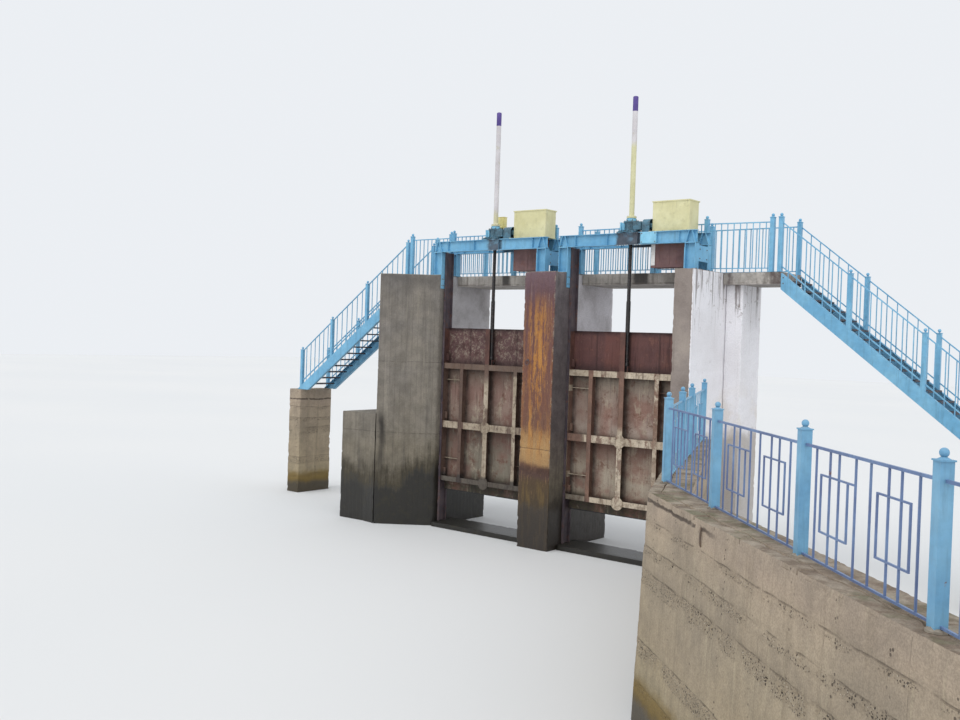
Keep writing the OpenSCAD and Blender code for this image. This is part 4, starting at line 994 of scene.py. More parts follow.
def prism_mesh(bot, top, z0, z1, cell, depth=None, chip=0.03, chipw=0.06, cells=None, zcell=None, capcell=None,
               topdepth=None, seed=0, bottom_grid=False, round_=0.005):
    """Closed cast block with fine faces. bot and top are its outlines, depth(P, su, edge) is how far a face lies in."""
    bot, top = np.array(bot, float), np.array(top, float)
    x, y = top[:, 0], top[:, 1]
    n = len(top)
    cells = list(cells) if cells else [cell] * n
    if (x * np.roll(y, -1) - np.roll(x, -1) * y).sum() < 0:
        bot, top = bot[::-1].copy(), top[::-1].copy()
        cells = (cells[:-1])[::-1] + cells[-1:]
    nr = []
    for i in range(n):
        t = top[(i + 1) % n] - top[i]
        t = t / np.linalg.norm(t)
        nr.append(np.array([t[1], -t[0]]))
    PB, PT, NR, EI, SU, SH = [], [], [], [], [], []
    s = 0.0
    for i in range(n):
        a, b, ab, bb = top[i], top[(i + 1) % n], bot[i], bot[(i + 1) % n]
        L = float(np.linalg.norm(b - a))
        k = max(1, int(round(L / cells[i])))
        prev = nr[i - 1]
        for j in range(k):
            t = j / k
            PT.append(a + (b - a) * t)
            PB.append(ab + (bb - ab) * t)
            EI.append(i)
            SU.append(s + L * t)
            if j == 0:
                NR.append((prev + nr[i]) / max(0.3, 1 + float(prev @ nr[i])))
                SH.append(float(prev @ nr[i]) < 0.96)
            else:
                NR.append(nr[i])
                SH.append(False)
        s += L
    PB, PT, NR, EI, SU, SH = np.array(PB), np.array(PT), np.array(NR), np.array(EI), np.array(SU), np.array(SH)
    N = len(PT)
    M = max(1, int(round((z1 - z0) / (zcell or cell))))
    corners = SU[SH] if SH.any() else np.array([-99.0])
    dd = np.abs(SU[:, None] - corners[None, :])
    dd = np.minimum(dd, s - dd)
    ec = dd.min(1)
    cdir = np.zeros((N, 2))
    ids = np.where(SH)[0]
    if len(ids):
        near = ids[dd.argmin(1)]
        cdir = NR[near] / np.linalg.norm(NR[near], axis=1)[:, None]
    r = np.repeat(np.arange(M + 1), N)
    c = np.tile(np.arange(N), M + 1)
    f = (r / M)[:, None]
    xy = PB[c] * (1 - f) + PT[c] * f
    z = z0 + (z1 - z0) * f[:, 0]
    P = np.column_stack([xy, z])
    nrm = NR[c]
    d = depth(P, SU[c], EI[c]) if depth else np.zeros(len(P))
    ew, et = ec[c], z1 - z
    A = chip * sstep(fbm(P, 9.0, 4, seed + 5), 0.52, 0.80)
    wc = np.exp(-(ew / chipw) ** 2)
    wt = np.exp(-(et / chipw) ** 2)
    wc2 = np.exp(-(ew / 0.018) ** 2) * round_
    wt2 = np.exp(-(et / 0.018) ** 2) * round_
    dx = -nrm * d[:, None] - cdir[c] * (A * wc + wc2)[:, None] - nrm * (0.7 * (A * wt + wt2))[:, None]
    dz = -(0.7 * (A * wt + wt2))
    V = P.copy()
    V[:, :2] += dx
    V[:, 2] += dz
    F = []
    for rr in range(M):
        o = rr * N
        for cc in range(N):
            c1 = (cc + 1) % N
            F.append((o + cc, o + c1, o + N + c1, o + N + cc))
    ed = np.maximum(np.exp(-ew / 0.05), np.exp(-et / 0.05))
    su = SU[c]
    V, ed, su = list(V), list(ed), list(su)

    def cap(row, zc, sign):
        ring = [row * N + k for k in range(N)]
        base = np.array([V[i] for i in ring])
        poly = base[:, :2]
        lo, hi = poly.min(0), poly.max(0)
        cc = capcell or cell
        gx, gy = np.meshgrid(np.arange(lo[0] + cc * 0.5, hi[0], cc), np.arange(lo[1] + cc * 0.5, hi[1], cc))
        g = np.column_stack([gx.ravel(), gy.ravel()])
        keep = np.zeros(len(g), bool)
        dist = np.full(len(g), 9.0)
        q = np.roll(poly, -1, axis=0)
        for a, b in zip(poly, q):
            cond = (a[1] > g[:, 1]) != (b[1] > g[:, 1])
            with np.errstate(divide="ignore", invalid="ignore"):
                xi = (b[0] - a[0]) * (g[:, 1] - a[1]) / (b[1] - a[1]) + a[0]
            keep ^= cond & (g[:, 0] < xi)
            ab = b - a
            l2 = float(ab @ ab)
            if l2 > 0:
                t = np.clip(((g - a) @ ab) / l2, 0, 1)
                dist = np.minimum(dist, np.linalg.norm(g - (a + t[:, None] * ab), axis=1))
        g = g[keep & (dist > cc * 0.45)]
        dist = dist[keep & (dist > cc * 0.45)]
        pts = [Vector((float(a), float(b))) for a, b in np.vstack([poly, g])] if len(g) else [Vector((float(a), float(b))) for a, b in poly]
        edges = [(k, (k + 1) % N) for k in range(N)]
        vo, eo, fo, ov, oe, of_ = geometry.delaunay_2d_cdt(pts, edges, [], 1, 1e-7)
        m = {}
        for k, o_ in enumerate(ov):
            i = o_[0] if len(o_) else None
            if i is None:
                m[k] = len(V)
                V.append(np.array([vo[k][0], vo[k][1], base[:, 2].mean()]))
                ed.append(0.0)
                su.append(0.0)
            elif i < N:
                m[k] = ring[i]
            else:
                gi = i - N
                p = np.array([[g[gi, 0], g[gi, 1], zc]])
                Ac = chip * float(sstep(fbm(p, 9.0, 4, seed + 5), 0.52, 0.80)[0])
                e = float(dist[gi])
                zz = zc - sign * 0.7 * (Ac * math.exp(-(e / chipw) ** 2) + round_ * math.exp(-(e / 0.018) ** 2)) if sign > 0 else zc
                if topdepth is not None and sign > 0:
                    zz -= float(topdepth(p)[0]) * min(1.0, e / 0.08)
                m[k] = len(V)
                V.append(np.array([g[gi, 0], g[gi, 1], zz]))
                ed.append(math.exp(-e / 0.05))
                su.append(float(g[gi, 0]))
        for t in fo:
            F.append(tuple(m[k] for k in (t if sign > 0 else t[::-1])))

    cap(M, z1, 1)
    if bottom_grid:
        cap(0, z0, -1)
    else:
        F.append(tuple(range(N))[::-1])
    return np.array(V), F, np.array(ed), np.array(su)


def merge(parts):
    V, F, E, S, n = [], [], [], [], 0
    for v, f, e, s in parts:
        V.append(v)
        F += [tuple(i + n for i in q) for q in f]
        E.append(e)
        S.append(s)
        n += len(v)
    return np.vstack(V), F, np.concatenate(E), np.concatenate(S)


def cast(name, parts, slot, *nodes, smooth=38):
    v, f, e, s = merge(parts)
    o = make(name, v, f, "structure", MAT[slot], smooth, {"ed": e, "su": s})
    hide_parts(*nodes)
    return o


PIER_H, BANK_H = 6.45, 2.95


def pier_depth(joints=(), amp=0.006, board=0.14, seed=0):
    def fn(P, su, e):
        d = amp * fbm(P, 1.3, 3, seed) + 0.0035 * fbm(P, 7.0, 2, seed + 3)
        k = np.floor(su / board).astype(np.int64)
        d = d + 0.003 * _hash(k, k * 0, k * 0, 5 + seed)
        for zj in joints:
            q = P[:, 2] - zj - 0.03 * (fbm(P, 1.5, 2, seed + 9) - 0.5)
            d = d + 0.009 * np.exp(-(q / 0.022) ** 2) + 0.0025 * sstep(q, -0.01, 0.02)
        pit = sstep(fbm(P * np.array([1, 1, 1.0]), 16.0, 2, seed + 21), 0.70, 0.80)
        return d + 0.010 * pit
    return fn


def slab_depth(P, su, e):
    return 0.003 * fbm(P, 2.0, 3, 4) + 0.004 * sstep(fbm(P, 11.0, 2, 41), 0.6, 0.8)


tops = lambda P: 0.004 * fbm(P, 3.0, 3, 61) + 0.006 * sstep(fbm(P, 9.0, 2, 62), 0.62, 0.8)

LP = [(-3.44, 1.72), (-3.44, -0.36), (-4.02, -0.82), (-4.68, -1.31), (-5.45, -0.45), (-5.45, 1.72)]
cast("left_pier_concrete", [prism_mesh(LP, LP, 0, PIER_H, 0.045, pier_depth((2.18, 4.02), seed=1), 0.016, 0.035, capcell=0.07, topdepth=tops, seed=1)],
     "pier_concrete", "left_pier")
AB = [(-4.68, -1.31), (-5.16, -1.23), (-5.99, -1.26), (-5.99, 1.72), (-5.45, 1.72), (-5.45, -0.45)]
cast("left_abutment_concrete", [prism_mesh(AB, AB, 0, 2.82, 0.045, pier_depth((1.3,), 0.008, seed=2), 0.022, 0.04, capcell=0.07, topdepth=tops, seed=2)],
     "pier_concrete", "left_abutment")
MP = [(-0.44, -0.8), (0.44, -0.8), (0.44, 1.72), (-0.44, 1.72)]
cast("middle_pier_concrete", [prism_mesh(MP, MP, 0, PIER_H, 0.04, pier_depth((2.33,), 0.006, 0.22, seed=3), 0.020, 0.032, capcell=0.06, topdepth=tops, seed=3)],
     "rust_streaked_concrete", "middle_pier")
RP = [(3.44, -0.8), (3.9, -0.8), (3.9, 0.85), (3.44, 0.85)]
cast("right_pier_concrete", [prism_mesh(RP, RP, 0, PIER_H, 0.04, pier_depth((2.2, 4.3), 0.005, 0.2, seed=4), 0.018, 0.03, capcell=0.06, topdepth=tops, seed=4)],
     "whitewashed_concrete", "right_pier")
LW = [(3.9, 0.76), (4.3, 0.76), (4.3, 1.72), (3.9, 1.72)]
cast("landing_wall_concrete", [prism_mesh(LW, LW, 0, 6.19, 0.045, pier_depth((), 0.005, 0.3, seed=5), 0.012, 0.03, seed=5)],
     "whitewashed_concrete", "landing_wall")
SA = [(-3.44, 0.3), (-0.44, 0.3), (-0.44, 1.72), (-3.44, 1.72)]
SB = [(0.44, 0.3), (3.44, 0.3), (3.44, 0.85), (3.9, 0.85), (3.9, 0.58), (5.2, 0.58), (5.2, 1.72), (0.44, 1.72)]
cast("walkway_slab_concrete", [prism_mesh(p, p, 6.19, PIER_H, 0.052, slab_depth, 0.014, 0.03, capcell=0.075, zcell=0.043, topdepth=tops, bottom_grid=True, seed=6 + i)
                               for i, p in enumerate((SA, SB))], "slab_concrete", "walkway_slab")
SI = []
for c0 in (-1.94, 1.94):
    q = [(c0 - 1.5, -0.45), (c0 + 1.5, -0.45), (c0 + 1.5, 0.45), (c0 - 1.5, 0.45)]
    SI.append(prism_mesh(q, q, 0, 0.12, 0.06, slab_depth, 0.02, 0.05, seed=8))
cast("bay_sills_concrete", SI, "pier_concrete", "bay_sills")

# wing wall: the same corner points as the CAD model, in metres
unit = lambda a: np.array(a, float) / np.linalg.norm(a)
W0, V1 = np.array([7.21, -8.30]), np.array([3.84, -0.80])
D1, D2 = unit((7255, -6882)), unit(W0 - V1)
N1, N2 = np.array([-D1[1], D1[0]]), np.array([-D2[1], D2[0]])
WW = 0.56
MI = (N1 + N2) / (1 + N1 @ N2)
W1 = W0 + D1 * 9.0
W2, W3, V2 = W1 + N1 * WW, W0 + MI * WW, V1 + np.array([WW / N2[0], 0])
LEN1, LEN2 = 9.0, float(np.linalg.norm(W0 - V1))
POUR = ((2.60, 0.08, 0.6), (2.27, 0.10, 0.7), (1.97, 0.18, 1.0), (1.08, 0.18, 1.0), (0.55, 0.09, 0.6))


def wall_depth(P, su, e):
    d = 0.012 * fbm(P, 0.9, 3, 31) + 0.004 * fbm(P, 5.0, 2, 33)
    z = P[:, 2] + 0.06 * (fbm(P * np.array([1, 1, 0.3]), 0.9, 3, 35) - 0.5)
    for k, (zk, wd, dens) in enumerate(POUR):
        q = z - zk
        a = 0.4 + 0.6 * sstep(fbm(P, 1.7, 2, 70 + k), 0.35, 0.6)
        d = d + 0.011 * a * np.exp(-(q / 0.016) ** 2)
        d = d + (0.004 if k % 2 else -0.003) * sstep(q, -0.015, 0.015)
        low = sstep(-q, 0.0, 0.02) * sstep(-q, wd * 1.5, wd * 0.7)
        pit = sstep(fbm(P, 21.0, 2, 80 + k), 0.50, 0.68) * sstep(fbm(P, 1.3, 2, 90 + k), 0.40, 0.62)
        d = d + 0.020 * dens * low * pit
    seam = np.abs(((su + 0.3) / 1.22) % 1.0 - 0.5) * 2
    d = d + 0.005 * sstep(seam, 0.975, 1.0)
    # broken places just under the top near the corner
    s1 = (P[:, 0] - W0[0]) * D1[0] + (P[:, 1] - W0[1]) * D1[1]
    br = sstep(P[:, 2], 2.74, 2.90) * sstep(s1, 3.4, 1.0) * sstep(fbm(P, 5.0, 2, 99), 0.42, 0.6)
    return np.clip(d + 0.030 * br, 0, 0.06) - 0.002


B0, B1, BV = W0 - MI * 0.11, W1 - N1 * 0.11, V1 - np.array([0.11 / N2[0], 0])
lerp2 = lambda a, b, t: a + (b - a) * t
ZT = 2.905
kk = ZT / (BANK_H - 0.14)
wt = [W0, W1, W2, W3, V2, V1]
wb = [B0, B1, W2, W3, V2, BV]
cast("wing_wall_concrete", [prism_mesh(wb, wt, 0, ZT, 0.03, wall_depth, 0.024, 0.045, cells=[0.030, 0.12, 0.12, 0.12, 0.12, 0.06], zcell=0.030, capcell=0.11, seed=9)],
     "wall_concrete", "right_wing_wall", "wing_wall_return")


# worn topping of the wing wall, cracked into slabs
def topping():
    out = []
    noise1 = lambda x, k: float(fbm(np.array([[x, k * 3.7, 1.3]]), 2.2, 3, 200 + k)[0] - 0.5)
    for run in (0, 1):
        if run == 0:
            A, D, N, L = W0, D1, N1, LEN1
            s_lo = lambda t: t * float(MI @ D1)
            s_hi = lambda t: L
            cuts = [0.0, 0.42, 0.95, 1.30, 1.72, 2.35, 3.05, 4.30, 5.10, 6.65, 7.90, 9.0]
            back = [0.0, 1.10, 2.60, 4.10, 6.0, 7.6, 9.0]
        else:
            A, D, N, L = V1, D2, N2, LEN2
            s_lo = lambda t: t * float(D2[0] / N2[0])
            s_hi = lambda t: L + t * float(MI @ D2)
            cuts = [0.0, 1.2, 2.5, 3.3, 4.6, 5.9, 6.7, 7.5, L]
            back = [0.0, 2.0, 4.1, 6.2, L]
        crack = lambda s: 0.19 + 0.10 * noise1(s, 3 + run) + 0.03 * noise1(s * 5, 5 + run)
        front = lambda s: 0.006 + 0.020 * abs(noise1(s * 3, 7 + run)) + (0.03 * max(0.0, noise1(s * 2, 9)) if run == 0 and s < 3 else 0)

        def cut_line(cs, k, s0, strip):
            if k == 0:
                return lambda t: s_lo(t) + 0.004
            if k == len(cs) - 1:
                return lambda t: s_hi(t) - 0.004
            return lambda t: s0 + 0.09 * noise1(t * 9 + s0 * 3, 11 + strip) + (0.12 * (rnd(k, strip, run) - 0.5)) * t / 0.2

        for strip, cs in ((0, cuts), (1, back)):
            for k in range(len(cs) - 1):
                g = 0.005 + 0.006 * rnd(k, strip, run, 3)
                a, b = cut_line(cs, k, cs[k], strip), cut_line(cs, k + 1, cs[k + 1], strip)
                lo = (lambda s: front(s)) if strip == 0 else (lambda s: crack(s) + g * 0.5)
                hi = (lambda s: crack(s) - g * 0.5) if strip == 0 else (lambda s: WW - 0.004)
                # outline by (s, t), sampled along its four sides
                t0, t1 = (0.0, 0.2) if strip == 0 else (0.2, WW)
                pts = []
                sA, sB = a(t0), b(t0)
                m = max(2, int((sB - sA) / 0.055))
                for j in range(m):
                    s = sA + g * 0.5 + (sB - sA - g) * j / m
                    pts.append((s, lo(s)))
                m2 = 3 if strip == 0 else 6
                for j in range(m2):
                    t = lo(sB) + (hi(b(t1)) - lo(sB)) * j / m2
                    pts.append((b(t) - g * 0.5, t))
                sA, sB = a(t1), b(t1)
                m = max(2, int((sB - sA) / 0.055))
                for j in range(m):
                    s = sB - g * 0.5 - (sB - sA - g) * j / m
                    pts.append((s, hi(s)))
                for j in range(m2):
                    t = hi(sA) + (lo(a(t0)) - hi(sA)) * j / m2
                    pts.append((a(t) + g * 0.5, t))
                xy = [tuple(A + D * s + N * t) for s, t in pts]
                drop = 0.010 * rnd(k, strip, run, 7) if strip == 0 else 0.002 * rnd(k, strip, run, 8)
                if strip == 0 and run == 0 and k in (2, 4):
                    drop += 0.012
                out.append(prism_mesh(xy, xy, 2.85, BANK_H - drop, 0.06, None, 0.016, 0.03, zcell=0.034, capcell=0.05,
                                      topdepth=lambda P: 0.005 * fbm(P, 6, 3, 71), seed=20 + k + 30 * strip + 60 * run, round_=0.006))
    return out


cast("wing_wall_topping", topping(), "wall_concrete", "wing_wall_coping", smooth=45)
FT = []
for xc, hf in ((5.2 + 18 * 0.246, BANK_H), (-5.45 - 17 * 0.268, BANK_H + 3.5 / 18)):
    x0, x1 = xc - 0.26, xc + 0.26
    q = [(x0, 0.52), (x1, 0.52), (x1, 1.79), (x0, 1.79)]
    FT.append(prism_mesh(q, q, 0, hf, 0.06, pier_depth((1.5,), 0.006, 0.2, seed=7), 0.03, 0.06, seed=77))
cast("stair_footings_concrete", FT, "wall_concrete", "stair_footings")


# ------------------------------------------------------------------ gates
GW, LIP, GTOP = 2.94, 0.93, 5.10
GZ = (1.235, 2.63, 4.13)
CX = {"left": -1.94, "right": 1.94}
DECK = 7.30


def sheet_plate(sp, x0, x1, z0, z1, y0, y1, step, fn):
    """Closed plate whose two faces bulge by fn(x, z) along Y."""
    nx, nz = max(1, int(round((x1 - x0) / step))), max(1, int(round((z1 - z0) / step)))
    xs, zs = np.linspace(x0, x1, nx + 1), np.linspace(z0, z1, nz + 1)
    X, Z = np.meshgrid(xs, zs)
    P = np.column_stack([X.ravel(), X.ravel() * 0, Z.ravel()])
    b = fn(P)
    a = P.copy()
    a[:, 1] = y0 + b
    c = P.copy()
    c[:, 1] = y1 + b
    n = len(P)
    W = nx + 1
    f = []
    for j in range(nz):
        for i in range(nx):
            k = j * W + i
            f.append((k, k + 1, k + W + 1, k + W))
            f.append((n + k, n + k + W, n + k + W + 1, n + k + 1))
    rim = [i for i in range(W)] + [j * W + nx for j in range(1, nz + 1)] + [nz * W + i for i in range(nx - 1, -1, -1)] + [j * W for j in range(nz - 1, 0, -1)]
    for i in range(len(rim)):
        p, q = rim[i], rim[(i + 1) % len(rim)]
        f.append((p, n + p, n + q, q))
    sp.add(np.vstack([a, c]), f)


for side, c0 in CX.items():
    body = side + "_gate"
    ribs = [c0 - 1.47, c0 - 0.855, c0 - 0.08, c0 + 0.855, c0 + 1.47]
    sd = 300 if side == "left" else 400

    def bulge(P, ribs=ribs, sd=sd):
        d = np.min([np.abs(P[:, 0] - r) for r in ribs], axis=0)
        e = np.min([np.abs(P[:, 2] - r) for r in (LIP,) + GZ], axis=0)
        k = np.clip(np.minimum(d, e) / 0.25, 0, 1)
        return 0.007 * k * (fbm(P, 1.6, 3, sd) - 0.25) + 0.0015 * (fbm(P, 9, 2, sd + 1) - 0.5) * np.clip(k * 3, 0, 1)

    sp = Soup()
    # three strakes of plate with open butt joints
    for z0, z1 in ((LIP, 2.02), (2.0196, 3.10), (3.0996, GZ[2] - 0.002)):
        sheet_plate(sp, c0 - 1.47, c0 + 1.47, z0, z1, 0.0, 0.012, 0.06, bulge)
    o = sp.make(side + "_skin_plates", body, MAT["gate_skin_" + side], "gate_skin")
    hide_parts(side + "_gate_skin")

    # top plates: four sheets, lapped and buckled, under an angle
    sp = Soup()
    seams = [-1.47, -0.77, -0.05, 0.67, 1.47] if side == "left" else [-1.47, -0.83, -0.05, 0.79, 1.47]
    for i in range(4):
        x0, x1 = c0 + seams[i] + 0.002, c0 + seams[i + 1] - 0.002

        def buck(P, x0=x0, x1=x1, i=i, sd=sd):
            t = np.clip(np.minimum(P[:, 0] - x0, x1 - P[:, 0]) / 0.12, 0, 1)
            return -0.002 * (i % 2) + 0.006 * t * (fbm(P, 2.3, 3, sd + 7 + i) - 0.35) + 0.002 * (1 - t) * (fbm(P, 8, 2, sd + 9) - 0.5)
        sheet_plate(sp, x0, x1, GZ[2] + 0.002, GTOP - 0.010, 0.002, 0.011, 0.05, buck)
    for i in (1, 2, 3):
        x = c0 + seams[i]
        sp.box((x - 0.020, -0.004, GZ[2] + 0.03), (x + 0.020, 0.001, GTOP - 0.03), 0.0015)
    sp.box((c0 - 1.47, -0.025, GTOP - 0.010), (c0 + 1.47, 0.012, GTOP), 0.003)
    sp.box((c0 - 1.47, -0.005, GTOP - 0.045), (c0 + 1.47, 0.0015, GTOP - 0.009), 0.001)
    for k in range(15):
        x = c0 - 1.40 + k * 0.2
        sp.bolt((x, -0.005, GTOP - 0.027), (0, -1, 0), 0.008, 0.006, turn=k * 0.7)
    o = sp.make(side + "_top_sheets", body, MAT["gate_red_" + side], "gate_red")
    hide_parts(side + "_gate_top_plates")

    # welds, bolts and stiffener clips on the frame
    sp = Soup()
    for gi, z in enumerate(GZ):
        for i in range(4):
            a, b = ribs[i] + 0.02, ribs[i + 1] - 0.02
            sp.bead(line((a, -0.003, z - 0.009), (b, -0.003, z - 0.009), 0.05), 0.006, i + gi)
            sp.bead(line((a, -0.003, z + 0.009), (b, -0.003, z + 0.009), 0.05), 0.006, 9 + i + gi)
        for r in ribs[1:4]:
            for s in (-1, 1):
                fw = (0.065 if abs(r - ribs[2]) < 0.01 else 0.05)
                xo = r + (0.04 if abs(r - ribs[2]) < 0.01 else 0) + s * fw
                hf = (0.06, 0.085, 0.07)[gi]
                sp.bead(line((xo, -0.191, z - hf), (xo, -0.191, z + hf), 0.02), 0.005, 31 + gi)
    for i in (0, 1):
        z = GZ[i]
        for k in range(8):
            t = k * math.pi / 4 + 0.39
            sp.bolt((c0 - 0.04 + 0.12 * math.cos(t), -0.206, z + 0.12 * math.sin(t)), (0, -1, 0), 0.011, 0.008, turn=t)
    for r in ribs[1:4]:
        for z0, z1 in ((GZ[0] + 0.08, GZ[1] - 0.1), (GZ[1] + 0.1, GZ[2] - 0.08)):
            for s in (-1, 1):
                sp.bead(line((r + s * 0.009, -0.003, z0), (r + s * 0.009, -0.003, z1), 0.06), 0.005, int(z0 * 10))
            # triangular clips where rib and girder meet
            for s in (-1, 1):
                for zz, up in ((z0 - 0.075, 1), (z1 + 0.075, -1)):
                    v = [(r + s * 0.006, -0.03, zz), (r + s * 0.006, -0.15, zz), (r + s * 0.006, -0.03, zz + up * 0.10)]
                    w2 = [(x + s * 0.0, y, z) for x, y, z in v]
                    base = [(x, y, z) for x, y, z in v] + [(x + s * 0.075, y, z) for x, y, z in (v[0], v[1])]
                    sp.add([v[0], (r + s * 0.085, -0.03, zz), v[2], (r + s * 0.006, -0.040, zz), (r + s * 0.085, -0.040, zz), (r + s * 0.006, -0.040, zz + up * 0.10)],
                           [(0, 1, 2), (3, 5, 4), (0, 3, 4, 1), (1, 4, 5, 2), (2, 5, 3, 0)])
    # bolts along the end plates, and the guide shoes
    for s in (-1, 1):
        for k in range(9):
            z = 1.35 + k * 0.42
            sp.bolt((c0 + s * 1.40, -0.191, z), (0, -1, 0), 0.010, 0.007, turn=z) if min(abs(z - g) for g in GZ) < 0.1 else None
        for z in (1.40, 2.85, 4.35):
            sp.box((c0 + s * 1.385, -0.100, z - 0.09), (c0 + s * 1.458, -0.055, z + 0.09), 0.006)
    # lifting lug welds
    for s in (-1, 1):
        x = c0 + 0.01 + s * 0.062
        sp.bead(line((x + s * 0.010, -0.14, GZ[2] + 0.009), (x + s * 0.010, -0.02, GZ[2] + 0.009), 0.02), 0.006, 77)
    sp.make(side + "_frame_details", body, MAT["gate_frame_" + side], "gate_frame")

    # seals with their clamping bars on the upstream face
    sp, sr = Soup(), Soup()
    for s in (-1, 1):
        x0, x1 = c0 + s * 1.36, c0 + s * 1.452
        sr.box((min(x0, x1), 0.020, LIP + 0.02), (max(x0, x1), 0.028, GTOP - 0.05), 0.002)
        x0, x1 = c0 + s * 1.37, c0 + s * 1.42
        sp.box((min(x0, x1), 0.028, LIP + 0.05), (max(x0, x1), 0.034, GTOP - 0.08), 0.0015)
        for k in range(20):
            sp.bolt((c0 + s * 1.395, 0.034, LIP + 0.12 + k * 0.205), (0, 1, 0), 0.009, 0.006, turn=k)
    sr.box((c0 - 1.45, -0.004, LIP - 0.007), (c0 + 1.45, 0.014, LIP + 0.012), 0.003)
    sp.box((c0 - 1.46, 0.020, LIP + 0.01), (c0 + 1.46, 0.026, LIP + 0.07), 0.0015)
    for k in range(14):
        sp.bolt((c0 - 1.36 + k * 0.209, 0.026, LIP + 0.04), (0, 1, 0), 0.009, 0.006, turn=k)
    sr.make(side + "_seals", body, RUBBER, "dark_steel")
    sp.make(side + "_seal_bars", body, BOLT, "dark_steel")

    # stem: eye, pin and screw thread
    sx, sy = c0 + 0.01, -0.08
    sp = Soup()
    sp.lathe((sx, sy, 4.19), (0, 0, 1), [(0.050, 0.165), (0.050, 1.575), (0.048, 1.60), (0.041, 1.605)], 28)
    n, per = 24, 6
    z0, z1, pitch = 5.79, 8.575, 0.028
    m = int((z1 - z0) / pitch * per)
    t = np.arange(n) * 2 * math.pi / n
    rows = []
    for k in range(m + 1):
        z = z0 + (z1 - z0) * k / m
        ph = ((z - z0) / pitch - t / (2 * math.pi)) % 1.0
        prof = np.where(ph < 0.36, 1.0, np.where(ph < 0.5, 1 - (ph - 0.36) / 0.14, np.where(ph < 0.86, 0.0, (ph - 0.86) / 0.14)))
        r = 0.0380 + 0.0058 * prof
        if k == 0 or k == m:
            r = r * 0 + 0.0380
        rows.append(np.column_stack([sx + r * np.cos(t), sy + r * np.sin(t), np.full(n, z)]))
    v = np.vstack(rows)
    f = [(k * n + i, k * n + (i + 1) % n, (k + 1) * n + (i + 1) % n, (k + 1) * n + i) for k in range(m) for i in range(n)]
    f += [tuple(range(n))[::-1], tuple(range(m * n, m * n + n))]
    sp.add(v, f)
    sp.lathe((sx, sy, 8.57), (0, 0, 1), [(0.0380, 0.0), (0.0380, 0.018), (0.031, 0.030)], 24)
    # eye block with a rounded top, and the pin with its washers and split pins
    sp.box((sx - 0.052, sy - 0.045, 4.17), (sx + 0.052, sy + 0.045, 4.345), 0.010)
    sp.lathe((sx, sy, 4.335), (0, 0, 1), [(0.060, 0.0), (0.064, 0.012), (0.060, 0.045), (0.050, 0.062)], 28)
    sp.tube((sx - 0.080, sy, 4.25), (sx + 0.080, sy, 4.25), 0.026, n=24)
    for s in (-1, 1):
        sp.tube((sx + s * 0.0705, sy, 4.25), (sx + s * 0.0755, sy, 4.25), 0.040, n=24)
        sp.tube((sx + s * 0.079, sy, 4.25), (sx + s * 0.086, sy, 4.25), 0.022, 0.018, n=20)
    o = sp.make(side + "_screw_stem", body, MAT["greased_stem"], "greased_stem", smooth=40)
    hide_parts(side + "_gate_stem")

# ------------------------------------------------------------------ hoists
BEAM_Z, BEAM_H, HF, HR, FLW = 7.03, 0.27, -0.36, 0.25, 0.13


def ring(sp, x, y, z, prof, n=36):
    """Closed ring round an upright axis; prof is its closed outline as (radius, height)."""
    m = len(prof)
    v = [(x + r * math.cos(2 * math.pi * i / n), y + r * math.sin(2 * math.pi * i / n), z + h) for r, h in prof for i in range(n)]
    sp.add(v, [(j * n + i, j * n + (i + 1) % n, ((j + 1) % m) * n + (i + 1) % n, ((j + 1) % m) * n + i) for j in range(m) for i in range(n)])


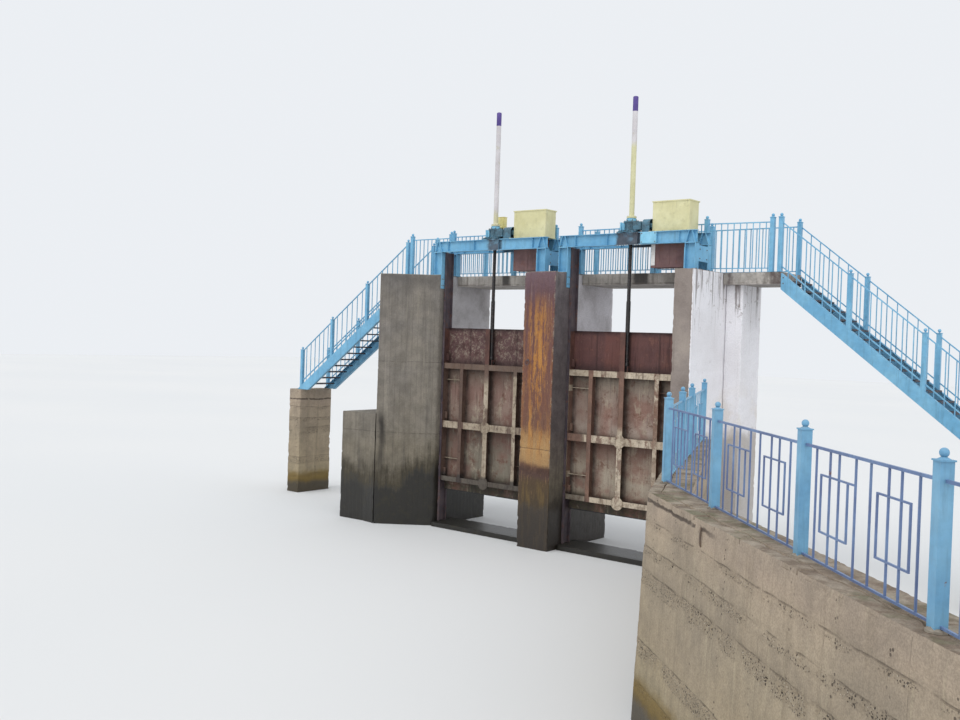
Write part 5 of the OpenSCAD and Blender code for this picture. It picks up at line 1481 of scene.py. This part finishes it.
for side, c0 in CX.items():
    blue, bolts, mortar = Soup(), Soup(), Soup()
    for s in (-1, 1):
        px = c0 + s * 1.625
        xi = c0 + s * 1.5                       # edge of the bay
        for y0 in (HF, HR - 0.02):
            xa, xb = px - s * 0.125 + s * 0.003, px + s * 0.165
            lo, hi = min(xa, xb), max(xa, xb)
            mortar.box((lo - (0.02 if s < 0 else 0), y0 + 0.001, 6.446), (hi + (0.02 if s > 0 else 0), y0 + 0.215, 6.456), 0.004)
            blue.box((lo, y0 + 0.003, 6.455), (hi, y0 + 0.200, 6.471), 0.003)
            for xx, yy in ((px + s * 0.148, y0 + 0.022), (px + s * 0.148, y0 + 0.184), (px - s * 0.06, y0 + 0.186)):
                bolts.bolt((xx, yy, 6.471), (0, 0, 1), 0.012, 0.012, turn=xx * 9)
            # welds at the post's foot
            blue.bead(line((px - 0.125, y0 - 0.001, 6.472), (px - 0.111, y0 - 0.001, 6.472), 0.005), 0.006, 3)
            blue.bead(line((px - 0.11, y0 + 0.078, 6.472), (px + 0.11, y0 + 0.078, 6.472), 0.03), 0.007, 5)
            # head plate of the post and the bolts through the beam's flange
            blue.box((px - 0.125, y0 - 0.001, 7.018), (px + 0.125, y0 + 0.171, 7.0295), 0.002)
        for y0 in (HF, HR):
            for dx in (-0.085, 0.085):
                for dy in (0.028, 0.102):
                    bolts.bolt((px + dx, y0 + dy, 7.044), (0, 0, 1), 0.010, 0.010, turn=dx * 30)
                    bolts.bolt((px + dx, y0 + dy, 7.018), (0, 0, -1), 0.010, 0.009, turn=dx * 20)
            # end stiffener welds
            for t in (-1, 1):
                blue.bead(line((px + t * 0.107, y0 + 0.058, 7.046), (px + t * 0.04, y0 + 0.058, 7.284), 0.03), 0.005, 8)
        # bolts on the strap that goes down the pier's side
        for z in (6.18, 6.34):
            for y in (-0.325, -0.265):
                bolts.bolt((c0 + s * 1.490, y, z), (-s, 0, 0), 0.010, 0.008, turn=z)
        # tie plate bolts
        for z in (6.70, 6.90):
            for y in (-0.14, 0.18):
                bolts.bolt((c0 + s * 1.750, y, z), (s, 0, 0), 0.011, 0.008, turn=z * 3)
    # web stiffeners along the beams
    for y0 in (HF, HR):
        for x in (c0 - 1.30, c0 - 0.45, c0 + 0.33, c0 + 1.35):
            for sy_ in (0.0, 0.071):
                blue.box((x - 0.004, y0 + sy_ + 0.001, 7.045), (x + 0.004, y0 + sy_ + 0.058, 7.285), 0.0015)
        for z in (7.0445, 7.2855):
            blue.bead(line((c0 - 1.5, y0 + 0.057, z), (c0 + 1.5, y0 + 0.057, z), 0.08), 0.0045, 12)
    if side == "right":
        # cover plate bolted over the front beam's web
        pl = Soup()
        pl.box((2.36, HF - 0.012, 7.045), (2.75, HF - 0.001, 7.292), 0.003)
        pl.box((2.362, HF - 0.0005, 7.05), (2.376, HF + 0.055, 7.288), 0.002)
        pl.box((2.734, HF - 0.0005, 7.05), (2.748, HF + 0.055, 7.288), 0.002)
        o = pl.make("beam_cover_plate", "structure", PLATE, "blue_paint")
        for x in (2.39, 2.72):
            for z in (7.075, 7.262):
                bolts.bolt((x, HF - 0.012, z), (0, -1, 0), 0.009, 0.007, turn=x)
    # bolts where the cabinet's bearers sit on the beams
    KX, KW, BX = (0.59, 0.95, 0.62) if side == "left" else (0.55, 0.90, 0.55)
    for dx in (KX + 0.06, KX + KW - 0.12):
        for y0 in (HF, HR):
            for e in (-0.022, 0.082):
                bolts.bolt((c0 + dx + e, y0 + 0.065, DECK), (0, 0, 1), 0.009, 0.009, turn=dx)

    # gearbox: flange bolts, ribs, cover, coupling guard
    sx, sy = c0 + 0.01, -0.08
    gb, lp, gr = Soup(), Soup(), Soup()
    for k in range(10):
        t = k * math.pi / 5 + 0.3
        if abs(math.cos(t)) < 0.999:
            bolts.bolt((sx + 0.160 * math.cos(t), sy + 0.160 * math.sin(t), DECK + 0.275), (0, 0, 1), 0.010, 0.010, turn=t)
    for k in range(8):
        t = k * math.pi / 4 + math.pi / 8
        cx_, sn = math.cos(t), math.sin(t)
        if cx_ > 0.6 and abs(sn) < 0.5:
            continue
        M = Matrix.Rotation(t, 4, "Z")
        M.translation = Vector((sx, sy, 0))
        gb.box((0.146, -0.006, DECK + 0.055), (0.176, 0.006, DECK + 0.245), 0.002, M)
    gb.lathe((sx, sy, DECK + 0.055), (0, 0, 1), [(0.165, 0.0), (0.165, 0.018), (0.152, 0.024), (0.150, 0.024)], 40)
    for ax in (-0.19, 0.19):
        for ay in (-0.16, 0.16):
            bolts.bolt((sx + ax, sy + ay, DECK + 0.055), (0, 0, 1), 0.012, 0.011, turn=ax)
    # end cover of the worm housing and the filler plug
    gb.box((sx + 0.316, sy - 0.105, DECK + 0.09), (sx + 0.328, sy + 0.105, DECK + 0.24), 0.004)
    for ay in (-0.085, 0.085):
        for az in (0.108, 0.222):
            bolts.bolt((sx + 0.328, sy + ay, DECK + az), (1, 0, 0), 0.007, 0.006, turn=az)
    gb.lathe((sx + 0.2, sy - 0.06, DECK + 0.255), (0, 0, 1), [(0.022, 0), (0.022, 0.010), (0.014, 0.012), (0.014, 0.030)], 12)
    lp.box((sx - 0.244, sy - 0.094, DECK + 0.065), (sx - 0.205, sy + 0.094, DECK + 0.262), 0.008)
    lp.box((sx - 0.205, sy - 0.075, DECK + 0.075), (sx - 0.125, sy + 0.075, DECK + 0.250), 0.010)
    for ay in (-0.08, 0.08):
        for az in (0.08, 0.246):
            bolts.bolt((sx - 0.244, sy + ay, DECK + az), (-1, 0, 0), 0.007, 0.006, turn=az)
    gb.lathe((sx - 0.2445, sy, DECK + 0.15), (-1, 0, 0), [(0.052, 0), (0.052, 0.010), (0.040, 0.016), (0.018, 0.018), (0.018, 0.045)], 20)
    # light blue cap over the nut
    lp.lathe((sx, sy, DECK + 0.2755), (0, 0, 1), [(0.118, 0.0), (0.118, 0.052), (0.110, 0.060), (0.0975, 0.062)], 36)
    for k in range(6):
        t = k * math.pi / 3 + 0.2
        bolts.bolt((sx + 0.118 * math.cos(t), sy + 0.118 * math.sin(t), DECK + 0.305), (math.cos(t), math.sin(t), 0), 0.007, 0.006, turn=t)
    # guard over the coupling, open below
    gx0, gx1 = sx + 0.338, c0 + KX - 0.014
    guard = MAT["gearbox_paint"]
    gd = Soup()
    n = 14
    ya, yb, zc, rr = sy - 0.115, sy + 0.115, DECK + 0.195, 0.115
    prof = [(ya, DECK + 0.02)] + [(sy - rr * math.cos(math.pi * i / n), zc + rr * math.sin(math.pi * i / n)) for i in range(n + 1)] + [(yb, DECK + 0.02)]
    inner = [(sy + (y - sy) * 0.965, DECK + 0.02 if z < DECK + 0.03 else z - 0.004) for y, z in prof]
    m = len(prof)
    v = [(x, y, z) for x in (gx0, gx1) for y, z in prof] + [(x, y, z) for x in (gx0, gx1) for y, z in inner]
    f = []
    for i in range(m - 1):
        f.append((i, i + 1, m + i + 1, m + i))
        f.append((2 * m + i, 3 * m + i, 3 * m + i + 1, 2 * m + i + 1))
        f.append((i, 2 * m + i, 2 * m + i + 1, i + 1))
        f.append((m + i, m + i + 1, 3 * m + i + 1, 3 * m + i))
    f.append((0, m, 3 * m, 2 * m))
    f.append((m - 1, 3 * m - 1, 4 * m - 1, 2 * m - 1))
    gd.add(v, f)
    for y in (ya - 0.022, yb - 0.002):
        gd.box((gx0, y, DECK + 0.014), (gx1, y + 0.024, DECK + 0.020), 0.001)
    gd.make(side + "_coupling_guard", "structure", guard, "gearbox_paint")
    for x in (gx0 + 0.03, gx1 - 0.03):
        for y in (ya - 0.012, yb + 0.012):
            bolts.bolt((x, y, DECK + 0.020), (0, 0, 1), 0.006, 0.006, turn=x)
    # plinth under the guard
    gb.box((gx0 - 0.005, ya - 0.03, DECK + 0.001), (gx1 + 0.005, yb + 0.03, DECK + 0.014), 0.002)
    # lumps of old grease
    for k in range(16):
        t, r = rnd(k, 1, 5) * 6.28, 0.16 + 0.07 * rnd(k, 2, 5)
        p = (sx + r * math.cos(t), sy + min(0.17, max(-0.17, r * math.sin(t))), DECK + 0.055)
        q = 0.010 + 0.018 * rnd(k, 3, 5)
        gr.lathe(p, (0.1 * math.cos(t), 0.1 * math.sin(t), 1), [(q, -0.002), (q * 1.05, q * 0.25), (q * 0.75, q * 0.55), (q * 0.3, q * 0.72)], 9)
    gr.lathe((sx, sy, DECK + 0.352), (0, 0, 1), [(0.093, -0.004), (0.092, 0.0)], 24)
    gb.make(side + "_gearbox_details", "structure", MAT["gearbox_paint"], "gearbox_paint")
    lp.make(side + "_nut_cap", "structure", PLATE, "gearbox_paint")
    gr.make(side + "_grease", "structure", MAT["greased_stem"], "greased_stem")

    # cover tube: flange bolts, a welded joint, the painted cap, a band
    top = 10.44 if side == "left" else 10.35
    tb, cp = Soup(), Soup()
    ring(tb, sx, sy, DECK + 0.3895, [(0.072, 0), (0.070, 0.006), (0.0585, 0.030), (0.0545, 0.030), (0.0545, 0)])
    for zz in (8.62, 9.63):
        ring(tb, sx, sy, zz, [(0.0582, -0.008), (0.0605, -0.003), (0.0605, 0.003), (0.0582, 0.008), (0.0550, 0.008), (0.0550, -0.008)])
    for k in range(6):
        t = k * math.pi / 3
        bolts.bolt((sx + 0.093 * math.cos(t), sy + 0.093 * math.sin(t), DECK + 0.39), (0, 0, 1), 0.007, 0.007, turn=t)
    tb.make(side + "_tube_details", "structure", TUBE[side], SLOT[side + "_stem_cover"])
    tube_o = NODES[side + "_stem_cover"]
    tube_o.data.materials.clear()
    tube_o.data.materials.append(TUBE[side])
    cp.lathe((sx, sy, top - 0.31), (0, 0, 1), [(0.0584, 0), (0.0600, 0.004), (0.0600, 0.308), (0.056, 0.322), (0.040, 0.332), (0.014, 0.336)], 36)
    cp.make(side + "_tube_cap", "structure", CAP, SLOT[side + "_stem_cover"])

    # drive cabinet in folded sheet
    cb, cd = Soup(), Soup()
    x0, x1, y0, y1, z0, z1 = c0 + KX, c0 + KX + KW, -0.10, 0.34, DECK + 0.012, DECK + 0.690
    cb.box((x0, y0, z0), (x1, y1 - 0.012, z1), 0.010)
    # lid with a folded drip edge, raised in the middle
    nx, ny = 14, 8
    xs, ys = np.linspace(x0 - 0.012, x1 + 0.012, nx + 1), np.linspace(y0 - 0.012, y1 + 0.012, ny + 1)
    X, Y = np.meshgrid(xs, ys)
    u = np.sin(np.pi * (X - xs[0]) / (xs[-1] - xs[0])) * np.sin(np.pi * (Y - ys[0]) / (ys[-1] - ys[0]))
    dent = fbm(np.column_stack([X.ravel(), Y.ravel(), X.ravel() * 0]), 3, 2, 7).reshape(X.shape) - 0.5
    Zt = z1 + 0.004 + 0.008 * u + 0.004 * dent * u
    tp = np.column_stack([X.ravel(), Y.ravel(), Zt.ravel()])
    bt = tp.copy()
    bt[:, 2] = z1 - 0.022
    nn, Wd = len(tp), nx + 1
    f = []
    for j in range(ny):
        for i in range(nx):
            k = j * Wd + i
            f.append((k, k + 1, k + Wd + 1, k + Wd))
            f.append((nn + k, nn + k + Wd, nn + k + Wd + 1, nn + k + 1))
    rim = [i for i in range(Wd)] + [j * Wd + nx for j in range(1, ny + 1)] + [ny * Wd + i for i in range(nx - 1, -1, -1)] + [j * Wd for j in range(ny - 1, 0, -1)]
    for i in range(len(rim)):
        p, q = rim[i], rim[(i + 1) % len(rim)]
        f.append((p, nn + p, nn + q, q))
    cb.add(np.vstack([tp, bt]), f)
    # two doors on the walkway side, a rain lip, hinges, handles and louvres
    for a, b in ((x0 + 0.02, (x0 + x1) / 2 - 0.004), ((x0 + x1) / 2 + 0.004, x1 - 0.02)):
        cb.box((a, y1 - 0.013, z0 + 0.03), (b, y1 - 0.002, z1 - 0.05), 0.004)
        for k in range(6):
            zz = z0 + 0.11 + k * 0.022
            cb.box((a + 0.10, y1 - 0.003, zz), (b - 0.10, y1 + 0.005, zz + 0.010), 0.003)
    cb.box((x0 + 0.01, y1 - 0.012, z1 - 0.040), (x1 - 0.01, y1 + 0.008, z1 - 0.034), 0.0015)
    for sx_, hx in ((-1, x0 + 0.022), (1, x1 - 0.022)):
        for zz in (z0 + 0.12, z1 - 0.16):
            cd.tube((hx, y1 + 0.002, zz - 0.03), (hx, y1 + 0.002, zz + 0.03), 0.007, n=12)
    for hx in ((x0 + x1) / 2 - 0.04, (x0 + x1) / 2 + 0.04):
        cd.lathe((hx, y1 - 0.003, (z0 + z1) / 2), (0, 1, 0), [(0.016, 0), (0.016, 0.004), (0.008, 0.006), (0.008, 0.014)], 14)
        cd.box((hx - 0.007, y1 + 0.007, (z0 + z1) / 2 - 0.045), (hx + 0.007, y1 + 0.013, (z0 + z1) / 2 + 0.010), 0.003)
    # screws along the front sheet's lower edge
    for k in range(5):
        x = x0 + 0.06 + k * (x1 - x0 - 0.12) / 4
        for zz in (z0 + 0.03,):
            cd.lathe((x, y0 - 0.0005, zz), (0, -1, 0), [(0.006, 0), (0.006, 0.001), (0.003, 0.0035)], 10)
    # foot frame
    cb.box((x0 - 0.004, y0 - 0.004, DECK + 0.010), (x1 + 0.004, y0 + 0.03, DECK + 0.035), 0.003)
    cb.box((x0 - 0.004, y1 - 0.034, DECK + 0.010), (x1 + 0.004, y1 - 0.004, DECK + 0.035), 0.003)
    for dx in (KX + 0.06, KX + KW - 0.12):
        cb.box((c0 + dx, HF, DECK), (c0 + dx + 0.06, HR + FLW, DECK + 0.010), 0.002)
    o = cb.make(side + "_cabinet_sheets", "structure", MAT["cream_paint"], "cream_paint", smooth=30)
    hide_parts(side + "_cabinet")
    cd.make(side + "_cabinet_fittings", "structure", BOLT, "dark_steel")

    # housing under the cabinet
    hs = Soup()
    x0, x1, y0, y1, z0, z1 = c0 + BX, c0 + 1.43, -0.10, 0.23, 6.53, DECK
    hs.box((x0, y0 + 0.004, z0), (x1, y1, z1 - 0.001), 0.006)
    for zz in (z0 + 0.001, z1 - 0.051):
        hs.box((x0 - 0.004, y0 - 0.002, zz), (x1 + 0.004, y0 + 0.03, zz + 0.05), 0.003)
    for x in (x0 - 0.004, (x0 + x1) / 2 - 0.02, x1 - 0.036):
        hs.box((x, y0 - 0.001, z0 + 0.04), (x + 0.04, y0 + 0.02, z1 - 0.04), 0.003)
    for x in (x0 + 0.016, (x0 + x1) / 2, x1 - 0.016):
        for k in range(5):
            hs.bolt((x, y0 - 0.001, z0 + 0.08 + k * 0.14), (0, -1, 0), 0.006, 0.005, turn=k)
    o = hs.make(side + "_housing", "structure", MAT["primer_brown"], "primer_brown", smooth=30)
    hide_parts(side + "_cabinet_base")
    if side == "right":
        st = Soup()
        st.box((x0 + 0.001, y0 - 0.008, z0 + 0.05), (x0 + 0.10, y0 - 0.002, z1 - 0.055), 0.002)
        for k in range(3):
            st.bolt((x0 + 0.085, y0 - 0.008, z0 + 0.12 + k * 0.2), (0, -1, 0), 0.006, 0.004, turn=k)
        st.make("housing_edge_strip", "structure", MAT["white_tube"], "cream_paint")
    else:
        yb_ = Soup()
        yb_.box((-2.12, 0.245, 7.64), (-1.93, 0.380, 7.92), 0.010)
        yb_.box((-2.126, 0.238, 7.915), (-1.924, 0.387, 7.926), 0.003)
        yb_.box((-2.105, 0.238, 7.66), (-1.945, 0.247, 7.90), 0.003)
        o = yb_.make("limit_switch_box", "structure", YELLOW, "cream_paint")
        bk = Soup()
        bk.tube((-2.02, 0.315, 7.304), (-2.02, 0.315, 7.644), 0.020, n=16)
        bk.box((-2.080, 0.258, 7.2995), (-1.960, 0.372, 7.308), 0.002)
        bk.lathe((-2.065, 0.315, 7.644), (0, 0, -1), [(0.014, 0), (0.014, 0.02), (0.010, 0.024), (0.010, 0.05)], 12)
        bk.make("limit_switch_post", "structure", MAT["gearbox_paint"], "gearbox_paint")
    blue.make(side + "_hoist_plates", "structure", MAT["blue_paint"], "blue_paint")
    bolts.make(side + "_hoist_bolts", "structure", BOLT, "dark_steel")
    mortar.make(side + "_post_mortar", "structure", MORTAR, "slab_concrete")

# ------------------------------------------------------------------ rails and stairs


def pyramid(sp, x, y, z, w, w2, h):
    a, b = w / 2, w2 / 2
    v = [(x - a, y - a, z), (x + a, y - a, z), (x + a, y + a, z), (x - a, y + a, z),
         (x - b, y - b, z + h), (x + b, y - b, z + h), (x + b, y + b, z + h), (x - b, y + b, z + h)]
    sp.add(v, [(3, 2, 1, 0), (4, 5, 6, 7), (0, 1, 5, 4), (1, 2, 6, 5), (2, 3, 7, 6), (3, 0, 4, 7)])


def collar(sp, x, y, z, r, h, seed):
    """Lump of mortar round a post's foot."""
    n = 14
    prof = [(r, -0.006), (r * 0.97, h * 0.35), (r * 0.80, h * 0.8), (r * 0.60, h)]
    v, f = [], []
    for j, (rr, hh) in enumerate(prof):
        for i in range(n):
            t = 2 * math.pi * i / n
            k = 1 + 0.22 * (rnd(i, seed, 3) - 0.5)
            sq = 1 / max(abs(math.cos(t)), abs(math.sin(t)))
            q = rr * k * (0.6 + 0.4 * sq)
            v.append((x + q * math.cos(t), y + q * math.sin(t), z + hh * (1 + 0.3 * (rnd(i, seed, 7) - 0.5))))
    for j in range(len(prof) - 1):
        for i in range(n):
            a, b = j * n + i, j * n + (i + 1) % n
            f.append((a, b, b + n, a + n))
    f.append(tuple(range(n))[::-1])
    f.append(tuple(range((len(prof) - 1) * n, len(prof) * n)))
    sp.add(v, f)


caps, feet = Soup(), Soup()
LEVEL = [(x, 0.45) for x in (-3.73, -1.71, -0.46, 0.26, 2.25, 3.54)]
LEVEL += [(x, 1.66) for x in (-5.39, -3.60, -1.81, -0.05, 1.69, 3.06, 5.14)]
LEVEL += [(4.96, 0.63), (5.15, 0.625), (-5.39, 0.63), (-3.98, 0.63)]
for i, (x, y) in enumerate(LEVEL):
    pyramid(caps, x, y, 7.601, 0.100, 0.036, 0.022)
    caps.lathe((x, y, 7.60), (0, 0, 1), [(0.024, 0.022), (0.024, 0.028), (0.017, 0.034)], 16)
    # foot plate with its bolts and welds; it stays on the slab
    b = 0.062 if x < 5 else 0.048
    feet.box((x - b, y - b, 6.448), (x + b, y + b, 6.457), 0.002)
    for sx_ in (-1, 1) if x < 5 else ():
        for sy_ in (-1, 1):
            feet.bolt((x + sx_ * 0.052, y + sy_ * 0.052, 6.457), (0, 0, 1), 0.0055, 0.007, turn=i)
    for s in (-1, 1):
        feet.bead(line((x - 0.044, y + s * 0.047, 6.458), (x + 0.044, y + s * 0.047, 6.458), 0.012), 0.005, i)
caps.make("level_rail_caps", "structure", MAT["blue_paint"], "blue_paint")
feet.make("level_rail_feet", "structure", MAT["blue_paint"], "blue_paint")

# fence posts on the wall: caps and mortar
mort, fcap = Soup(), Soup()
F0, FD1, FD2 = np.array([6.987, -7.387]), unit((691, -723)), unit((380, -925))
FENCE = [F0 + FD1 * t for t in (0.0, 2.095, 4.595, 6.915, 9.240)] + [F0 - FD2 * t for t in (1.990, 3.680, 6.560)]
for i, (x, y) in enumerate(FENCE):
    collar(mort, float(x), float(y), 2.948, 0.078, 0.026, i)
    fcap.lathe((float(x), float(y), 4.1115), (0, 0, 1), [(0.046, 0.0), (0.044, 0.004), (0.026, 0.014), (0.0185, 0.020), (0.0185, 0.026)], 24)
fcap.make("fence_post_caps", "structure", FENCEB, "blue_paint")
mort.make("fence_post_mortar", "structure", MORTAR, "wall_concrete")


def tread_pans(side):
    """Pressed pans with raised lozenges, one per step, and the angles that carry them."""
    X0, sg = (5.2, 1) if side == "right" else (-5.45, -1)
    go, nr = (0.246, 18) if side == "right" else (0.268, 17)
    tp, cl = Soup(), Soup()

    def bx(sp, x0, y0, z0, x1, y1, z1, bv=0.0):
        a, b = X0 + sg * x0, X0 + sg * x1
        sp.box((min(a, b), y0, z0), (max(a, b), y1, z1), bv)
    for i in range(1, nr):
        xa, xb = (i - 1) * go + 0.004, (i - 1) * go + go + 0.024
        zt = 6.45 - i * 0.19444 - 0.004
        sag = 0.003 * rnd(i, 5, 2)
        bx(tp, xa, 0.672, zt - 0.0055, xb, 1.638, zt, 0.0015)
        bx(tp, xb - 0.005, 0.672, zt - 0.036, xb, 1.638, zt - 0.003, 0.0015)
        bx(tp, xa, 0.672, zt - 0.036, xa + 0.005, 1.638, zt - 0.003, 0.0015)
        bx(tp, xb - 0.022, 0.672, zt - 0.036, xb - 0.004, 1.638, zt - 0.032, 0.001)
        for j in range(5):
            for k in range(16):
                cx_ = xa + 0.034 + j * (0.050 if go < 0.25 else 0.055)
                cy_ = 0.705 + k * 0.060 + (0.030 if j % 2 else 0.0)
                if cy_ > 1.61:
                    continue
                t = 0.6 if (j + k) % 2 else -0.6
                M = Matrix.Rotation(t, 4, "Z")
                M.translation = Vector((X0 + sg * cx_, cy_, zt - sag * 0))
                tp.box((-0.004, -0.015, -0.0008), (0.004, 0.015, 0.0016), 0.0, M)
        for y0, y1 in ((0.671, 0.711), (1.599, 1.639)):
            bx(cl, xa + 0.03, y0, zt - 0.042, xb - 0.03, y1, zt - 0.037, 0.001)
        for yy, d in ((0.7115, 1), (1.5985, -1)):
            for xx in (xa + 0.07, xb - 0.07):
                cl.bolt((X0 + sg * xx, yy - d * 0.02, zt - 0.042), (0, 0, -1), 0.006, 0.006, turn=i)
    o = tp.make(side + "_step_pans", "structure", MAT["tread_steel"], "tread_steel")
    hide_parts(side + "_stair_treads")
    cl.make(side + "_step_angles", "structure", MAT["blue_paint"], "blue_paint")


tread_pans("right")
tread_pans("left")

# stringer ends: bolts at the landing
sb = Soup()
for X0, sg in ((5.2, 1), (-5.45, -1)):
    for y0 in (0.58, 1.64):
        for z in (6.20, 6.32):
            sb.bolt((X0 + sg * 0.05, y0 + (0.099 if y0 > 1 else -0.001) * 1.0, z), (0, 1 if y0 > 1 else -1, 0), 0.010, 0.009, turn=z)
sb.make("stringer_bolts", "structure", BOLT, "blue_paint")

# ------------------------------------------------------------------ small ironwork
iw = Soup()
# ring on the middle pier's nose
rc = Vector((-0.27, -0.806, 4.38))
n1, n2 = 28, 10
v, f = [], []
for i in range(n1):
    t = 2 * math.pi * i / n1
    for j in range(n2):
        u = 2 * math.pi * j / n2
        r = 0.060 + 0.0085 * math.cos(u)
        v.append((rc.x + r * math.sin(t), rc.y - 0.012 + 0.0085 * math.sin(u) - 0.02 * (1 - math.cos(t)) * 0.5, rc.z - 0.052 + r * math.cos(t)))
for i in range(n1):
    for j in range(n2):
        f.append((i * n2 + j, ((i + 1) % n1) * n2 + j, ((i + 1) % n1) * n2 + (j + 1) % n2, i * n2 + (j + 1) % n2))
iw.add(v, f)
iw.tube((rc.x, -0.78, rc.z), (rc.x, -0.828, rc.z), 0.011, n=12)
iw.lathe((rc.x, -0.790, rc.z), (0, -1, 0), [(0.03, 0), (0.03, 0.008), (0.012, 0.012)], 16)
iw.lathe((rc.x, -0.826, rc.z), (0, -1, 0), [(0.011, -0.004), (0.018, 0.0), (0.018, 0.008), (0.006, 0.012)], 12)
# anchors that tie the guides' channels back to the concrete
for c in (-1.94, 1.94):
    for s in (-1, 1):
        for z in (0.6, 1.5, 2.4, 3.3, 4.2, 5.1, 6.0):
            xa, xb = c + s * 1.462, c + s * 1.500
            iw.box((min(xa, xb), -0.236, z - 0.045), (max(xa, xb), -0.221, z + 0.045), 0.003)
            iw.bolt((c + s * 1.482, -0.236, z), (0, -1, 0), 0.009, 0.008, turn=z)
            iw.bead(line((c + s * 1.464, -0.222, z - 0.05), (c + s * 1.498, -0.222, z - 0.05), 0.01), 0.005, int(z * 10))
iw.make("guide_anchors_and_ring", "structure", MAT["dark_steel"], "dark_steel")

# end of a reinforcing bar left standing out of the wing wall's face
rb = Soup()
b0 = W0 + D1 * 2.03
p0 = Vector((float(b0[0] + N1[0] * 0.0), float(b0[1] + N1[1] * 0.0), 0))
out = Vector((float(-N1[0]), float(-N1[1]), 0)) if float(N1 @ (np.array([13.56, -19.6]) - b0)) < 0 else Vector((float(N1[0]), float(N1[1]), 0))
path = [p0 - out * 0.03 + Vector((0, 0, 2.66)), p0 + out * 0.012 + Vector((0, 0, 2.665)), p0 + out * 0.020 + Vector((0, 0, 2.70)),
        p0 + out * 0.018 + Vector((0, 0, 2.78)), p0 + out * 0.012 + Vector((0, 0, 2.87))]
for q0, q1 in zip(path, path[1:]):
    rb.tube(q0, q1, 0.011, n=10)
rb.make("bar_end_in_wall", "structure", BOLT, "dark_steel")

# ------------------------------------------------------- camera and studio
cam = bpy.data.cameras.new("camera")
co = bpy.data.objects.new("camera", cam)
ROOT.objects.link(co)
cam.sensor_width = 36
cam.lens = 37.5
cam.clip_end = 600
R_ = Vector((0.775364, 0.630674, 0.032576))
U_ = Vector((-0.037884, -0.005039, 0.999269))
B_ = Vector((0.630377, -0.776032, 0.019985))
MC = Matrix((R_, U_, B_)).transposed().to_4x4()
MC.translation = Vector((13.5642, -19.6, 4.8142))
co.matrix_world = MC
bpy.context.scene.camera = co

w = bpy.data.worlds.new("studio")
bpy.context.scene.world = w
w.use_nodes = True
w.node_tree.nodes["Background"].inputs[0].default_value = (0.93, 0.96, 1, 1)
w.node_tree.nodes["Background"].inputs[1].default_value = 0.9
bpy.context.scene.view_settings.view_transform = "Standard"

fm = Mt("studio_floor")
fm.done(fm.ramp(fm.noise(0.05, 2, 0.5), [(0.3, (214, 215, 215)), (0.7, (218, 218, 217))]), 0.85)
me = bpy.data.meshes.new("floor")
me.from_pydata([(-150, -150, 0), (150, -150, 0), (150, 150, 0), (-150, 150, 0)], [], [(0, 1, 2, 3)])
me.materials.append(fm.m)
floor = bpy.data.objects.new("floor", me)
ROOT.objects.link(floor)
floor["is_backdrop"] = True

key = bpy.data.lights.new("key", "SUN")
key.energy = 1.1
key.angle = math.radians(50)
ko = bpy.data.objects.new("key", key)
ROOT.objects.link(ko)
ko.rotation_euler = Vector((0.12, 0.75, -1.1)).to_track_quat("-Z", "Y").to_euler()
fill = bpy.data.lights.new("fill", "SUN")
fill.energy = 0.5
fill.angle = math.radians(70)
fo = bpy.data.objects.new("fill", fill)
ROOT.objects.link(fo)
fo.rotation_euler = Vector((-0.9, 0.25, -0.45)).to_track_quat("-Z", "Y").to_euler()

lo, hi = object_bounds()
